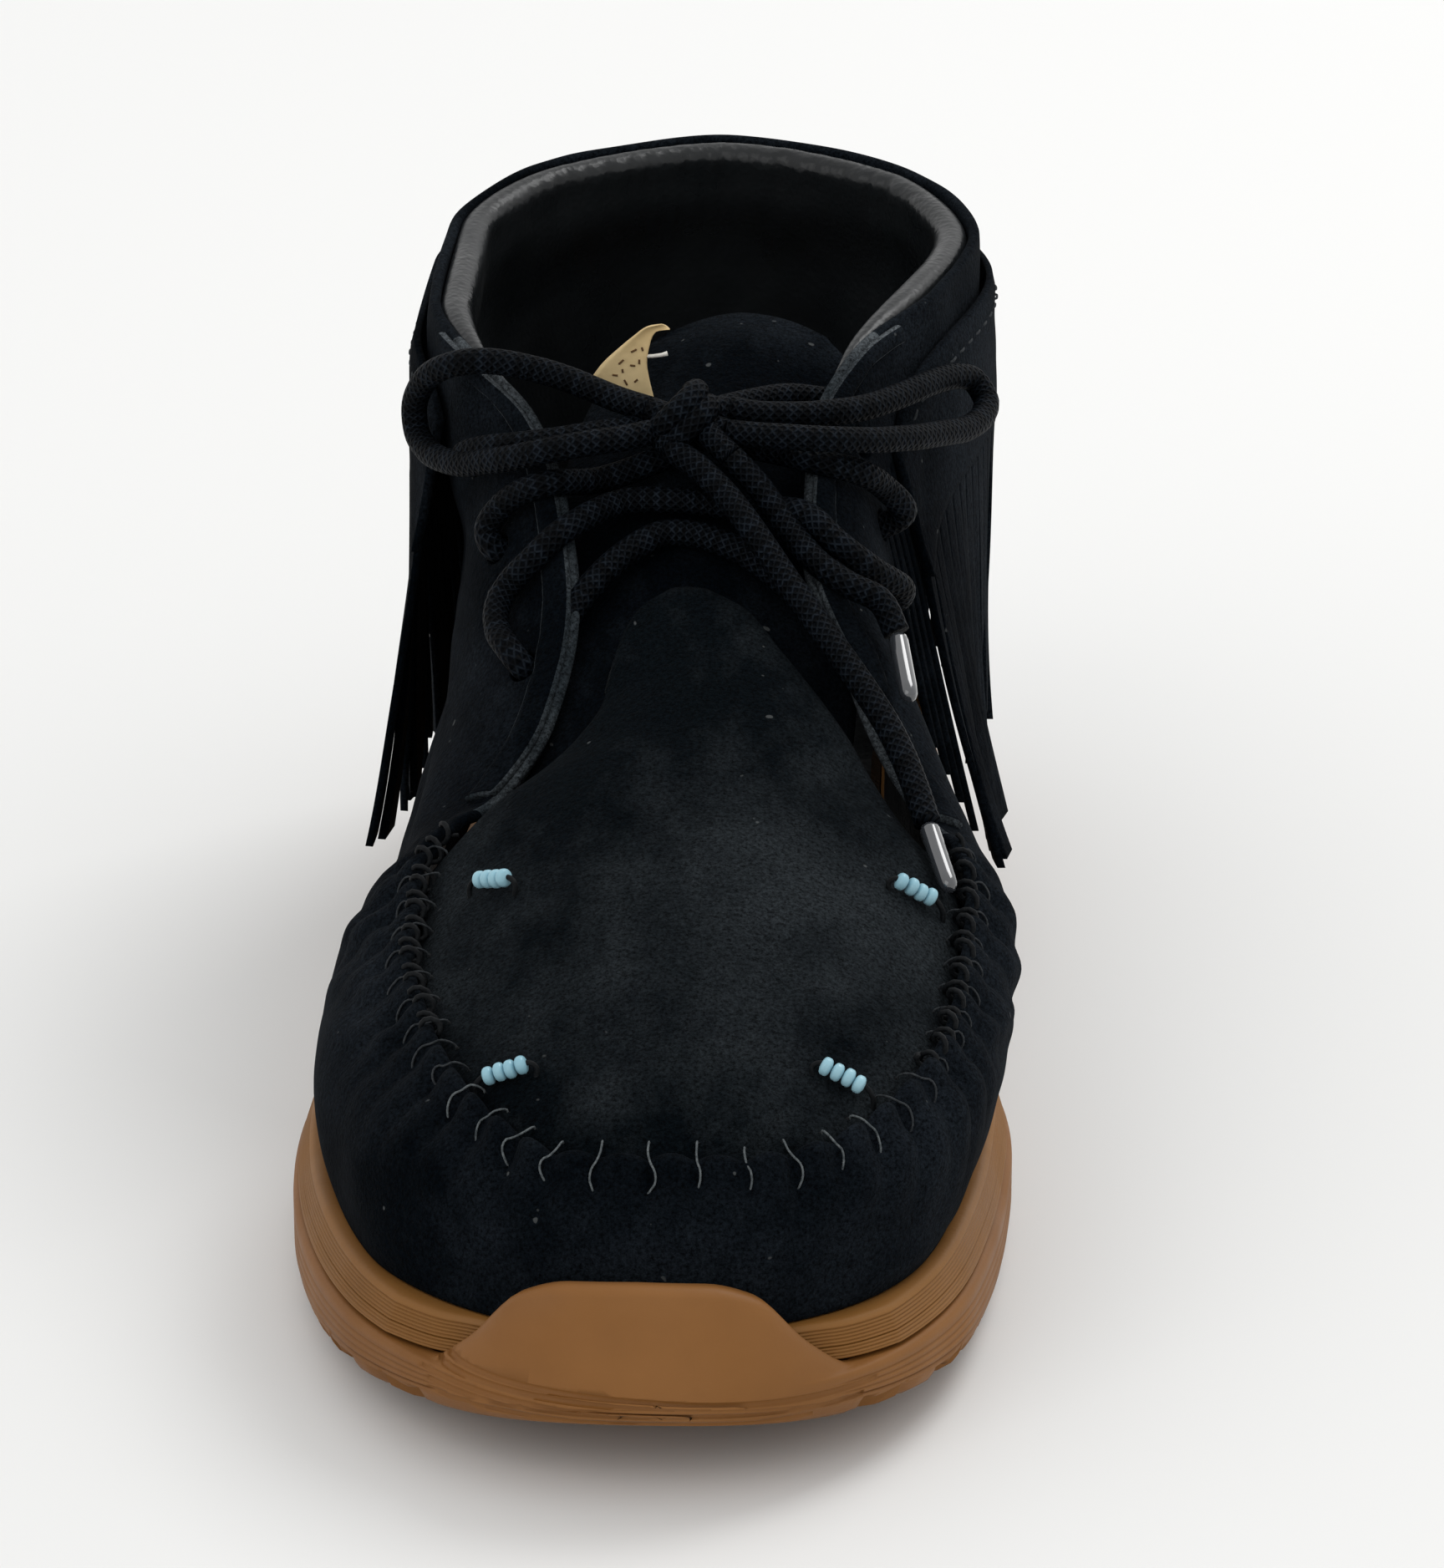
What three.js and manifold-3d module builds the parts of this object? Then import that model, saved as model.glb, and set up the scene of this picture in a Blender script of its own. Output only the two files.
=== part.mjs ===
// A fringed suede moccasin boot on a gum rubber sneaker sole: the wearer's right shoe.
// Millimetres, +Z up, +Y from toe to heel, +X to the inner side of the foot.
import * as THREE from 'three';
import { mergeVertices } from 'three/addons/utils/BufferGeometryUtils.js';
import Module from 'manifold-3d';

const wasm = await Module();
wasm.setup();

// Driving sizes
const SOLE_LENGTH = 290;
const LATERAL_HALF = 56; // widest half width of the sole, outer side
const MEDIAL_HALF = 52.5; // the same on the inner side
const COLLAR_HEIGHT = 118; // top of the collar at the back of the heel
const TOE_SPRING = 12;
const GROOVE_HEIGHT = 18; // line between outsole and midsole at the toe
const SIDEWALL_HEIGHT = 38; // top edge of the midsole at the back
const CLEARANCE = 0.3; // gap between neighbouring pieces

// Sizes of the sole
const SOLE_BEVEL = 5; // how far the walking face stays inside the outline
const RIB_DEPTH = 0.9;
const LEDGE = 5; // inset of the upper's foot from the sole's outline
const RECESS_DEPTH = 6; // of the insole's bed in the midsole
const TREAD_DEPTH = 3;
const TREAD_WIDTH = 4;
const TREAD_PITCH = 14;
const BUMPER_WALL = 3.6;
const BUMPER_TOP = 32;

// Sizes of the upper and what is in it
const SUEDE = 2.2;
const QUARTER_WALL = 3.2; // suede and lining beside the throat
const COLLAR_PAD = 7.5; // padded collar
const INSOLE_THICK = 4.5;
const PLUG_THICK = 2;
const TONGUE_THICK = 3.5;
const SEAM_STEP = 2.5; // how far the moccasin seam stands over the plug

// Sizes of the fringe
const FRINGE_THICK = 1.8;
const FRINGE_SEWN = 0.6; // air between the quarter and the fringe at its seam
const FRINGE_STAND = 2; // and below its uncut band
const STRIP_COUNT = 26;
const STRIP_GAP = 0.9;

// Lace, beads and tag
const LACE = 4.2; // diameter of the round waxed lace
const LACE_HOLE = 5.4;
const AGLET = 3.2;
const AGLET_LENGTH = 14;
const BEAD = 2.7; // diameter of a bead
const BEAD_LENGTH = 1.75;
const BEADS_IN_ROW = 4;
const TAG_THICK = 1.2;

const { lerp, smoothstep } = THREE.MathUtils;
const vec = (x, y, z) => new THREE.Vector3(x, y, z);
const LATERAL = -1;
const MEDIAL = 1;

// A table is the names of its columns and a row for each section
function table(names, rows) {
  const keys = names.split(' ');
  return rows.map((row) => Object.fromEntries(row.map((value, k) => [keys[k], value])));
}

// A column of a table as a monotone smooth curve over another column; level ends mirror round
function track(rows, over, column, u, levelEnds = false) {
  const last = rows.length - 1;
  if (u <= rows[0][over]) return rows[0][column];
  if (u >= rows[last][over]) return rows[last][column];
  const slope = (k) => (rows[k + 1][column] - rows[k][column]) / (rows[k + 1][over] - rows[k][over]);
  const tangent = (k) => {
    if (k === 0) return levelEnds ? 0 : slope(0);
    if (k === last) return levelEnds ? 0 : slope(last - 1);
    const before = slope(k - 1);
    const after = slope(k);
    return before * after <= 0 ? 0 : (2 * before * after) / (before + after);
  };
  const k = rows.findIndex((row) => row[over] > u) - 1;
  const span = rows[k + 1][over] - rows[k][over];
  const t = (u - rows[k][over]) / span;
  const start = (1 + 2 * t) * (1 - t) ** 2 * rows[k][column] + t * (1 - t) ** 2 * span * tangent(k);
  const end = t * t * (3 - 2 * t) * rows[k + 1][column] + t * t * (t - 1) * span * tangent(k + 1);
  return start + end;
}

// A closed skin over a grid of cells with two faces; absent cells leave slits and cut ends
function slab(columns, rows, outer, inner, wrap = false, present = () => true) {
  const positions = [];
  const indices = [];
  const spans = wrap ? columns : columns - 1;
  const top = (i, j) => ((i % columns) * rows + j) * 2;
  for (let i = 0; i < columns; i++) {
    for (let j = 0; j < rows; j++) {
      positions.push(...outer(i, j).toArray(), ...inner(i, j).toArray());
    }
  }
  const quad = (a, b, c, d) => indices.push(a, b, c, a, c, d);
  const solid = (i, j) => {
    if (j < 0 || j >= rows - 1) return false;
    if (!wrap && (i < 0 || i >= spans)) return false;
    return present((i + spans) % spans, j);
  };
  for (let i = 0; i < spans; i++) {
    for (let j = 0; j < rows - 1; j++) {
      if (!solid(i, j)) continue;
      const corners = [top(i, j), top(i + 1, j), top(i + 1, j + 1), top(i, j + 1)];
      quad(...corners);
      quad(...corners.map((k) => k + 1).reverse());
      const beside = [solid(i, j - 1), solid(i + 1, j), solid(i, j + 1), solid(i - 1, j)];
      corners.forEach((from, side) => {
        const to = corners[(side + 1) % 4];
        if (!beside[side]) quad(to, from, from + 1, to + 1);
      });
    }
  }
  return compact(positions, indices);
}

// Geometry with only the vertices that its faces use
function compact(positions, indices) {
  const used = new Map();
  const points = [];
  const faces = indices.map((k) => {
    if (!used.has(k)) {
      used.set(k, points.length / 3);
      points.push(...positions.slice(3 * k, 3 * k + 3));
    }
    return used.get(k);
  });
  const geometry = new THREE.BufferGeometry();
  geometry.setAttribute('position', new THREE.Float32BufferAttribute(points, 3));
  geometry.setIndex(faces);
  return geometry;
}

// Rings of points, lofted from the first to the last, with ends closed across the shoe
function loft(rings) {
  const count = rings[0].length;
  const positions = rings.flat().flatMap((p) => p.toArray());
  const indices = [];
  rings.slice(1).forEach((ring, r) => {
    for (let i = 0; i < count; i++) {
      const a = r * count + i;
      const b = r * count + ((i + 1) % count);
      indices.push(a, b + count, b, a, a + count, b + count);
    }
  });
  const lid = (base, flip) => {
    for (let i = 0; i < count / 2; i++) {
      const a = base + i;
      const b = base + i + 1;
      const c = base + ((2 * count - i - 1) % count);
      const d = base + ((count - i) % count);
      const faces = [];
      if (i < count / 2 - 1) faces.push(a, c, b);
      if (i > 0) faces.push(a, d, c);
      indices.push(...(flip ? faces.reverse() : faces));
    }
  };
  lid(0, true);
  lid((rings.length - 1) * count, false);
  return compact(positions, indices);
}

// Joins and cuts
function solidOf(geometry) {
  const clean = geometry.clone();
  clean.deleteAttribute('normal');
  clean.deleteAttribute('uv');
  const merged = mergeVertices(clean, 1e-5);
  return new wasm.Manifold(new wasm.Mesh({
    numProp: 3,
    vertProperties: new Float32Array(merged.attributes.position.array),
    triVerts: new Uint32Array(merged.index.array),
  }));
}

function geometryOf(solid) {
  const mesh = solid.getMesh();
  const geometry = new THREE.BufferGeometry();
  const points = [];
  for (let k = 0; k < mesh.vertProperties.length; k += mesh.numProp) {
    points.push(...mesh.vertProperties.slice(k, k + 3));
  }
  geometry.setAttribute('position', new THREE.Float32BufferAttribute(points, 3));
  geometry.setIndex([...mesh.triVerts]);
  return geometry;
}

const group = new THREE.Group();
const shoe = new THREE.Group();
group.add(shoe);

function add(name, geometry, color, roughness) {
  const material = new THREE.MeshStandardMaterial({ color, roughness, metalness: 0, flatShading: true });
  const mesh = new THREE.Mesh(geometry, material);
  mesh.name = name;
  shoe.add(mesh);
  return mesh;
}

// Outline of the sole: shares of each side's half width, over the share of the length
const OUTLINE = table('at lateral medial', [
  [0, 1.07, 1.16],
  [0.05, 1.073, 1.162],
  [0.1, 1.09, 1.15],
  [0.2, 1.079, 1.086],
  [0.27, 1.064, 1.053],
  [0.33, 1.04, 1.029],
  [0.38, 1.006, 0.987],
  [0.5, 0.893, 0.8],
  [0.6, 0.798, 0.745],
  [0.7, 0.746, 0.765],
  [0.8, 0.794, 0.858],
  [0.9, 0.865, 0.963],
  [1, 0.86, 0.97],
]);
const END_BLUNTNESS = 2.5;

// Heights along the sole: shares of the named height at the head of each column
const SOLE_RISE = table('at bottom groove wall', [
  [0, 1, 0.97, 0.605],
  [0.03, 0.78, 0.94, 0.59],
  [0.08, 0.52, 0.9, 0.58],
  [0.16, 0.22, 0.85, 0.575],
  [0.26, 0, 0.78, 0.54],
  [0.4, 0, 0.72, 0.58],
  [0.52, 0.2, 0.8, 0.68],
  [0.62, 0.1, 0.85, 0.8],
  [0.68, 0, 0.87, 0.86],
  [0.9, 0, 0.95, 0.96],
  [0.96, 0.06, 1, 0.99],
  [1, 0.35, 1.04, 1],
]);
const bottomZ = (y) => TOE_SPRING * track(SOLE_RISE, 'at', 'bottom', y / SOLE_LENGTH);
const grooveZ = (y) => GROOVE_HEIGHT * track(SOLE_RISE, 'at', 'groove', y / SOLE_LENGTH);
const wallZ = (y) => SIDEWALL_HEIGHT * track(SOLE_RISE, 'at', 'wall', y / SOLE_LENGTH);

// A point of the outline by its turn: 0 at the toe, 1 at the heel, on one side
function outlineAt(side, turn, inset = 0) {
  const place = (t) => {
    const u = (1 - Math.cos(Math.PI * t)) / 2;
    const envelope = (1 - Math.abs(2 * u - 1) ** END_BLUNTNESS) ** (1 / END_BLUNTNESS);
    const half = side === LATERAL
      ? -LATERAL_HALF * track(OUTLINE, 'at', 'lateral', u)
      : MEDIAL_HALF * track(OUTLINE, 'at', 'medial', u);
    return vec(half * envelope, SOLE_LENGTH * u, 0);
  };
  const point = place(turn);
  const step = 0.002;
  const mirrored = vec(-1, 1, 1);
  const before = turn - step < 0 ? place(step - turn).multiply(mirrored) : place(turn - step);
  const after = turn + step > 1 ? place(2 - turn - step).multiply(mirrored) : place(turn + step);
  const along = after.sub(before).normalize();
  const normal = vec(side * along.y, -side * along.x, 0);
  return { point: point.addScaledVector(normal, -inset), normal };
}

// A ring round the sole, from the toe along the outer side to the heel and back
const RING = 60;
function ring(inset, height, count = RING) {
  return Array.from({ length: count }, (_, i) => {
    const half = count / 2;
    const side = i <= half ? LATERAL : MEDIAL;
    const turn = i <= half ? i / half : (count - i) / half;
    const { point } = outlineAt(side, turn, typeof inset === 'function' ? inset(turn, side) : inset);
    point.z = height(point.y, turn);
    return point;
  });
}

const share = (low, high, part) => (y) => lerp(low(y), high(y), part);
const outsoleTop = (y) => grooveZ(y) - CLEARANCE / 2;
const bandFoot = (y) => bottomZ(y) + 2.5;

// Toe bumper: wraps up over the toe, its top edge falls to the groove at both flanks
const BUMPER = table('turn top lean wall', [
  [0, 1, 1, 1],
  [0.0333, 0.99, 0.97, 1],
  [0.0667, 0.92, 0.85, 1],
  [0.1, 0.68, 0.6, 0.8],
  [0.1333, 0.5, 0.3, 0.3],
  [0.1667, 0.43, 0, 0],
]);
const BUMPER_LEAN = 4.3; // how far its top edge leans back
const bumperShare = (column, turn) => track(BUMPER, 'turn', column, turn);
const bumperInset = (plain, lean, wall) => (turn) => lerp(
  plain,
  BUMPER_LEAN * lean * bumperShare('lean', turn) + BUMPER_WALL * wall,
  bumperShare('wall', turn),
);
const bumperZ = (level) => (y, turn) => {
  const seat = outsoleTop(y);
  return lerp(seat, Math.max(seat, BUMPER_TOP * bumperShare('top', turn)), level);
};

// Outsole: walking face, bevel, two ribs, top under the groove
const outsoleRings = [
  ring(SOLE_BEVEL, bottomZ),
  ring(1, bandFoot),
  ring(RIB_DEPTH, share(bandFoot, outsoleTop, 0.12)),
  ring(0, share(bandFoot, outsoleTop, 0.2)),
  ring(0, share(bandFoot, outsoleTop, 0.5)),
  ring(RIB_DEPTH, share(bandFoot, outsoleTop, 0.6)),
  ring(0, share(bandFoot, outsoleTop, 0.7)),
  ring(0, share(bandFoot, outsoleTop, 0.86)),
  ring(bumperInset(2.2, 0, 0), outsoleTop),
  ring(bumperInset(2.5, 0.3, 0), bumperZ(0.5)),
  ring(bumperInset(2.8, 1, 0), bumperZ(1)),
  ring(bumperInset(3.1, 1, 0.85), bumperZ(1)),
  ring(bumperInset(3.4, 0.2, 1), outsoleTop),
];

// Grooves between the lugs: chevrons across the walking face, none under the arch
const CHEVRON = 5;
const CHEVRON_HALF = 15;
const ARCH_FROM = 0.43;
const ARCH_TO = 0.66;
function treadGroove(y) {
  const points = [];
  for (let k = -4; k <= 4; k++) points.push([k * CHEVRON_HALF, y + (k % 2 ? CHEVRON : 0)]);
  const back = [...points].reverse().map(([x, v]) => [x, v + TREAD_WIDTH]);
  const shape = new THREE.Shape([...points, ...back].map(([x, v]) => new THREE.Vector2(x, v)));
  const depth = TREAD_DEPTH + TOE_SPRING;
  const cut = new THREE.ExtrudeGeometry(shape, { depth, bevelEnabled: false });
  cut.translate(0, 0, bottomZ(y + CHEVRON / 2) + TREAD_DEPTH - depth);
  return solidOf(cut);
}

let outsole = solidOf(loft(outsoleRings));
for (let y = TREAD_PITCH; y < SOLE_LENGTH - TREAD_PITCH; y += TREAD_PITCH) {
  const middle = (y + TREAD_WIDTH / 2) / SOLE_LENGTH;
  if (middle > ARCH_FROM && middle < ARCH_TO) continue;
  outsole = outsole.subtract(treadGroove(y));
}
add('outsole', geometryOf(outsole), 0x9a6a38, 0.7);

// Midsole: leans outward downwards, ribbed side, a recess for the insole
const midsoleFoot = (y) => grooveZ(y) + CLEARANCE / 2;
const BED_INSET = LEDGE + QUARTER_WALL + CLEARANCE;
const toeLedge = (turn) => BUMPER_WALL * (1 - smoothstep(turn, 0.08, 0.22));
const bedZ = (y) => wallZ(y) - RECESS_DEPTH;
// Inset that leaves room for the bumper
const behindBumper = (inset) => (turn) => {
  const wall = bumperShare('wall', turn);
  return inset + wall * (BUMPER_WALL + CLEARANCE) + 0.25 * BUMPER_LEAN * Math.min(1, 2 * wall);
};
const bedInset = (turn) => BED_INSET + toeLedge(turn);
const midsole = loft([
  ring(behindBumper(2.2), midsoleFoot),
  ring(behindBumper(0.8), share(midsoleFoot, wallZ, 0.12)),
  ring(behindBumper(1.4), share(midsoleFoot, wallZ, 0.36)),
  ring(behindBumper(1.4 + RIB_DEPTH), share(midsoleFoot, wallZ, 0.44)),
  ring(behindBumper(1.8), share(midsoleFoot, wallZ, 0.52)),
  ring(behindBumper(2.6), share(midsoleFoot, wallZ, 0.84)),
  ring(behindBumper(LEDGE - 1.2), wallZ),
  ring(bedInset, wallZ),
  ring(bedInset, bedZ),
]);
add('midsole', midsole, 0xa87a44, 0.7);

// Insole
const insoleFoot = (y) => bedZ(y) + CLEARANCE;
const insoleInset = (extra) => (turn) => bedInset(turn) + CLEARANCE + extra;
add('insole', loft([
  ring(insoleInset(0), insoleFoot, 44),
  ring(insoleInset(0), (y) => insoleFoot(y) + INSOLE_THICK - 1, 44),
  ring(insoleInset(1.5), (y) => insoleFoot(y) + INSOLE_THICK, 44),
]), 0x4a4440, 0.8);

// Top edge of the upper, a row for each section from the toe round to the heel: the turn of its
// foot on the outline, then shares of the length, of the side's half width and of the height
const EDGE = {
  [LATERAL]: table('row turn along across up', [
    [0, 0, 0.064, -0.018, 0.364],
    [1, 0.06, 0.067, 0.196, 0.364],
    [2, 0.12, 0.086, 0.339, 0.373],
    [3, 0.2, 0.131, 0.5, 0.394],
    [4, 0.27, 0.19, 0.607, 0.411],
    [5, 0.34, 0.259, 0.679, 0.432],
    [6, 0.39, 0.328, 0.679, 0.458],
    [7, 0.425, 0.362, 0.616, 0.487],
    [8, 0.45, 0.386, 0.5, 0.517],
    [9, 0.475, 0.421, 0.357, 0.602],
    [10, 0.51, 0.476, 0.304, 0.703],
    [11, 0.545, 0.534, 0.357, 0.805],
    [12, 0.58, 0.586, 0.464, 0.881],
    [13, 0.62, 0.631, 0.661, 0.932],
    [14, 0.68, 0.707, 0.795, 0.949],
    [15, 0.76, 0.821, 0.786, 0.966],
    [16, 0.86, 0.903, 0.589, 0.987],
    [17, 1, 0.955, -0.018, 1],
  ]),
  [MEDIAL]: table('row turn along across up', [
    [0, 0, 0.064, 0.019, 0.364],
    [1, 0.06, 0.064, 0.267, 0.364],
    [2, 0.12, 0.079, 0.505, 0.373],
    [3, 0.2, 0.124, 0.705, 0.394],
    [4, 0.27, 0.186, 0.829, 0.411],
    [5, 0.34, 0.259, 0.867, 0.432],
    [6, 0.385, 0.317, 0.876, 0.458],
    [7, 0.41, 0.348, 0.838, 0.492],
    [8, 0.435, 0.372, 0.762, 0.513],
    [9, 0.46, 0.403, 0.648, 0.559],
    [10, 0.49, 0.452, 0.495, 0.661],
    [11, 0.52, 0.51, 0.371, 0.763],
    [12, 0.555, 0.579, 0.381, 0.864],
    [13, 0.6, 0.645, 0.514, 0.936],
    [14, 0.66, 0.714, 0.724, 0.958],
    [15, 0.74, 0.81, 0.848, 0.97],
    [16, 0.86, 0.903, 0.648, 0.987],
    [17, 1, 0.955, 0.019, 1],
  ]),
};
const HEEL_ROW = 17;
const SEAM_ROW = 7.5; // where the moccasin seam ends and the throat begins
const COLLAR_ROW = 13; // front corner of the collar

// Form of each section: shares of the outer half width that the wall stands out over its foot
// and over its edge, and the share of its height that the edge curls down
const FORM = table('row belly shoulder drop', [
  [0, 0.02, 0.1, 0.06],
  [2, 0.03, 0.116, 0.05],
  [3, 0.054, 0.16, 0.04],
  [5, 0.08, 0.2, 0.04],
  [7, 0.06, 0.21, 0.06],
  [8, 0.045, 0.25, 0.07],
  [9, 0.03, 0.32, 0.07],
  [10, 0.015, 0.34, 0.07],
  [11, 0.01, 0.32, 0.08],
  [12, 0.01, 0.25, 0.1],
  [13, 0.02, 0.125, 0.15],
  [14, 0.04, 0.06, 0.2],
  [15, 0.04, 0.06, 0.22],
  [16, 0.03, 0.054, 0.22],
  [17, 0.03, 0.045, 0.2],
]);

// Top edge of the upper at a row, without the raised seam
function edgeAt(side, row) {
  const half = side === LATERAL ? LATERAL_HALF : MEDIAL_HALF;
  const read = (column) => track(EDGE[side], 'row', column, row, column !== 'across');
  return vec(side * half * read('across'), SOLE_LENGTH * read('along'), COLLAR_HEIGHT * read('up'));
}

// Outer face of the upper: row from toe to heel, level from 0 at the sole to 1 at the top edge
function skinAt(side, row, level) {
  const turn = track(EDGE[side], 'row', 'turn', row);
  const form = (column) => track(FORM, 'row', column, row, true);
  const { point: foot, normal } = outlineAt(side, turn, LEDGE + toeLedge(turn));
  foot.z = wallZ(foot.y) + CLEARANCE;
  const edge = edgeAt(side, row);
  const height = edge.z - foot.z;
  const low = foot.clone().addScaledVector(normal, LATERAL_HALF * form('belly'));
  low.y += (edge.y - foot.y) * 0.33;
  low.z += 0.42 * height;
  const high = edge.clone().addScaledVector(normal, LATERAL_HALF * form('shoulder'));
  high.y += (foot.y - edge.y) * 0.25;
  high.z -= form('drop') * height;
  const point = new THREE.CubicBezierCurve3(foot, low, high, edge).getPoint(level);
  const seam = 1 - smoothstep(row, SEAM_ROW - 1, SEAM_ROW + 1);
  point.z += SEAM_STEP * seam * smoothstep(level, 0.88, 1);
  return point;
}

// Unit normal of the outer face, pointing out
function skinNormal(side, row, level) {
  const step = 0.02;
  const along = (r) => {
    if (r < 0) return skinAt(-side, -r, level);
    return r > HEEL_ROW ? skinAt(-side, 2 * HEEL_ROW - r, level) : skinAt(side, r, level);
  };
  const across = along(row + step).sub(along(row - step));
  const rise = skinAt(side, row, Math.min(1, level + step))
    .sub(skinAt(side, row, Math.max(0, level - step)));
  return across.cross(rise).multiplyScalar(side).normalize();
}

function wallAt(row, level) {
  const lined = lerp(SUEDE, QUARTER_WALL, smoothstep(row, SEAM_ROW - 0.5, SEAM_ROW + 1.5));
  const pad = smoothstep(row, COLLAR_ROW - 0.6, COLLAR_ROW + 1) * smoothstep(level, 0.62, 0.88);
  return lined + (COLLAR_PAD - QUARTER_WALL) * pad;
}

// A point inside or outside the outer face, by its distance
function offSkin(side, row, level, distance) {
  const point = skinAt(side, row, level);
  return point.addScaledVector(skinNormal(side, row, level), distance);
}

// Closed section of the upper's wall: up the outer face, over the rolled edge, down the inner
const OUTER_LEVELS = [0, 0.12, 0.26, 0.42, 0.58, 0.72, 0.84, 0.93, 1];
const INNER_LEVELS = [0.97, 0.86, 0.68, 0.44, 0.2];
function upperSection(side, row) {
  const outer = OUTER_LEVELS.map((level) => skinAt(side, row, level));
  const inner = INNER_LEVELS.map((level) => offSkin(side, row, level, -wallAt(row, level)));
  const top = offSkin(side, row, 1, -wallAt(row, 1));
  const roll = outer[outer.length - 1].clone().add(top).multiplyScalar(0.5);
  const rise = skinAt(side, row, 1).sub(skinAt(side, row, 0.96)).normalize();
  roll.addScaledVector(rise, wallAt(row, 1) * 0.35);
  const foot = offSkin(side, row, 0, -wallAt(row, 0));
  foot.z = outer[0].z;
  return [...outer, roll, top, ...inner, foot];
}

// Sections joined round the shoe, the last one to the first
function hoop(sections) {
  const points = sections[0].length;
  const count = sections.length;
  const indices = [];
  for (let i = 0; i < count; i++) {
    for (let j = 0; j < points; j++) {
      const a = i * points + j;
      const b = i * points + ((j + 1) % points);
      const c = ((i + 1) % count) * points + ((j + 1) % points);
      const d = ((i + 1) % count) * points + j;
      indices.push(a, b, c, a, c, d);
    }
  }
  return compact(sections.flat().flatMap((p) => p.toArray()), indices);
}

const UPPER_STEPS = 35; // sections on each side
const sections = [];
for (let i = 0; i <= UPPER_STEPS; i++) sections.push(upperSection(LATERAL, (HEEL_ROW * i) / UPPER_STEPS));
for (let i = UPPER_STEPS - 1; i > 0; i--) sections.push(upperSection(MEDIAL, (HEEL_ROW * i) / UPPER_STEPS));
let upper = solidOf(hoop(sections));

// Punched lace holes, three on each side
const HOLES = table('side row level', [
  [LATERAL, 9.6, 0.87],
  [LATERAL, 10.9, 0.77],
  [LATERAL, 12.2, 0.74],
  [MEDIAL, 11.35, 0.63],
  [MEDIAL, 12.15, 0.64],
  [MEDIAL, 12.35, 0.82],
]);
for (const { side, row, level } of HOLES) {
  const punch = new THREE.CylinderGeometry(LACE_HOLE / 2, LACE_HOLE / 2, 6 * QUARTER_WALL, 8);
  const turn = new THREE.Quaternion().setFromUnitVectors(vec(0, 1, 0), skinNormal(side, row, level));
  const middle = offSkin(side, row, level, -wallAt(row, level) / 2);
  punch.applyQuaternion(turn).translate(middle.x, middle.y, middle.z);
  upper = upper.subtract(solidOf(punch));
}
add('upper', geometryOf(upper), 0x15181f, 0.95);

// Plug border inside the seam: the top edge of the upper drawn in by the room for its roll
const PLUG_INSET = 0.4 * SUEDE + CLEARANCE + 0.6;
function insetEdge(side) {
  const rows = [];
  for (let row = 0; row <= 9; row += 0.25) {
    const ahead = edgeAt(side, row + 0.05);
    const behind = row < 0.05 ? edgeAt(-side, 0.05 - row) : edgeAt(side, row - 0.05);
    const along = ahead.sub(behind).setZ(0).normalize();
    const point = edgeAt(side, row).addScaledVector(vec(side * along.y, -side * along.x, 0), -PLUG_INSET);
    if (!rows.length || point.y > rows[rows.length - 1].y) rows.push({ y: point.y, x: point.x, z: point.z });
  }
  return rows;
}
const seamRows = { [LATERAL]: insetEdge(LATERAL), [MEDIAL]: insetEdge(MEDIAL) };

// Free edge of the plug past the seam: shares of the length, of the half widths, of the height
const PLUG_TIP = table('along lateral medial up', [
  [0.342, 0.65, 0.82, 0.468],
  [0.362, 0.52, 0.67, 0.525],
  [0.383, 0.357, 0.571, 0.572],
  [0.4, 0.268, 0.514, 0.602],
  [0.421, 0.205, 0.438, 0.631],
  [0.452, 0.17, 0.295, 0.682],
  [0.472, 0.125, 0.202, 0.712],
  [0.486, 0.036, 0.076, 0.729],
]);
const PLUG_RIDGE = table('along up', [
  [0.064, 0.366],
  [0.09, 0.42],
  [0.121, 0.453],
  [0.207, 0.525],
  [0.31, 0.593],
  [0.397, 0.653],
  [0.479, 0.729],
  [0.5, 0.74],
]);
const PLUG_DOME = 2.4;
function plugBorder(side, y) {
  const free = PLUG_TIP[0].along * SOLE_LENGTH;
  const half = side === LATERAL ? LATERAL_HALF : MEDIAL_HALF;
  const column = side === LATERAL ? 'lateral' : 'medial';
  const loose = {
    x: side * half * track(PLUG_TIP, 'along', column, y / SOLE_LENGTH),
    z: COLLAR_HEIGHT * track(PLUG_TIP, 'along', 'up', y / SOLE_LENGTH),
  };
  if (y >= free) return loose;
  const sewn = { x: track(seamRows[side], 'y', 'x', y), z: track(seamRows[side], 'y', 'z', y) };
  const part = smoothstep(y, free - 12, free);
  return { x: lerp(sewn.x, loose.x, part), z: lerp(sewn.z, loose.z, part) };
}
const plugStart = edgeAt(LATERAL, 0).y + PLUG_INSET;
const plugEnd = PLUG_TIP[PLUG_TIP.length - 1].along * SOLE_LENGTH;
const TOE_BOW = 1.6;
function plugAt(y, u) {
  const start = smoothstep(y, plugStart, plugStart + 15);
  const left = plugBorder(LATERAL, Math.max(y, plugStart + TOE_BOW));
  const right = plugBorder(MEDIAL, Math.max(y, plugStart + TOE_BOW));
  const part = (u + 1) / 2;
  const ridge = COLLAR_HEIGHT * track(PLUG_RIDGE, 'along', 'up', y / SOLE_LENGTH);
  const border = lerp(left.z, right.z, part);
  const z = border + (ridge - border) * (1 - Math.abs(u) ** PLUG_DOME);
  const bow = TOE_BOW * (1 - start) * (u * u);
  return vec(lerp(left.x, right.x, part), y + bow, z);
}
const PLUG_ROWS = 15;
const PLUG_COLUMNS = 11;
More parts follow.
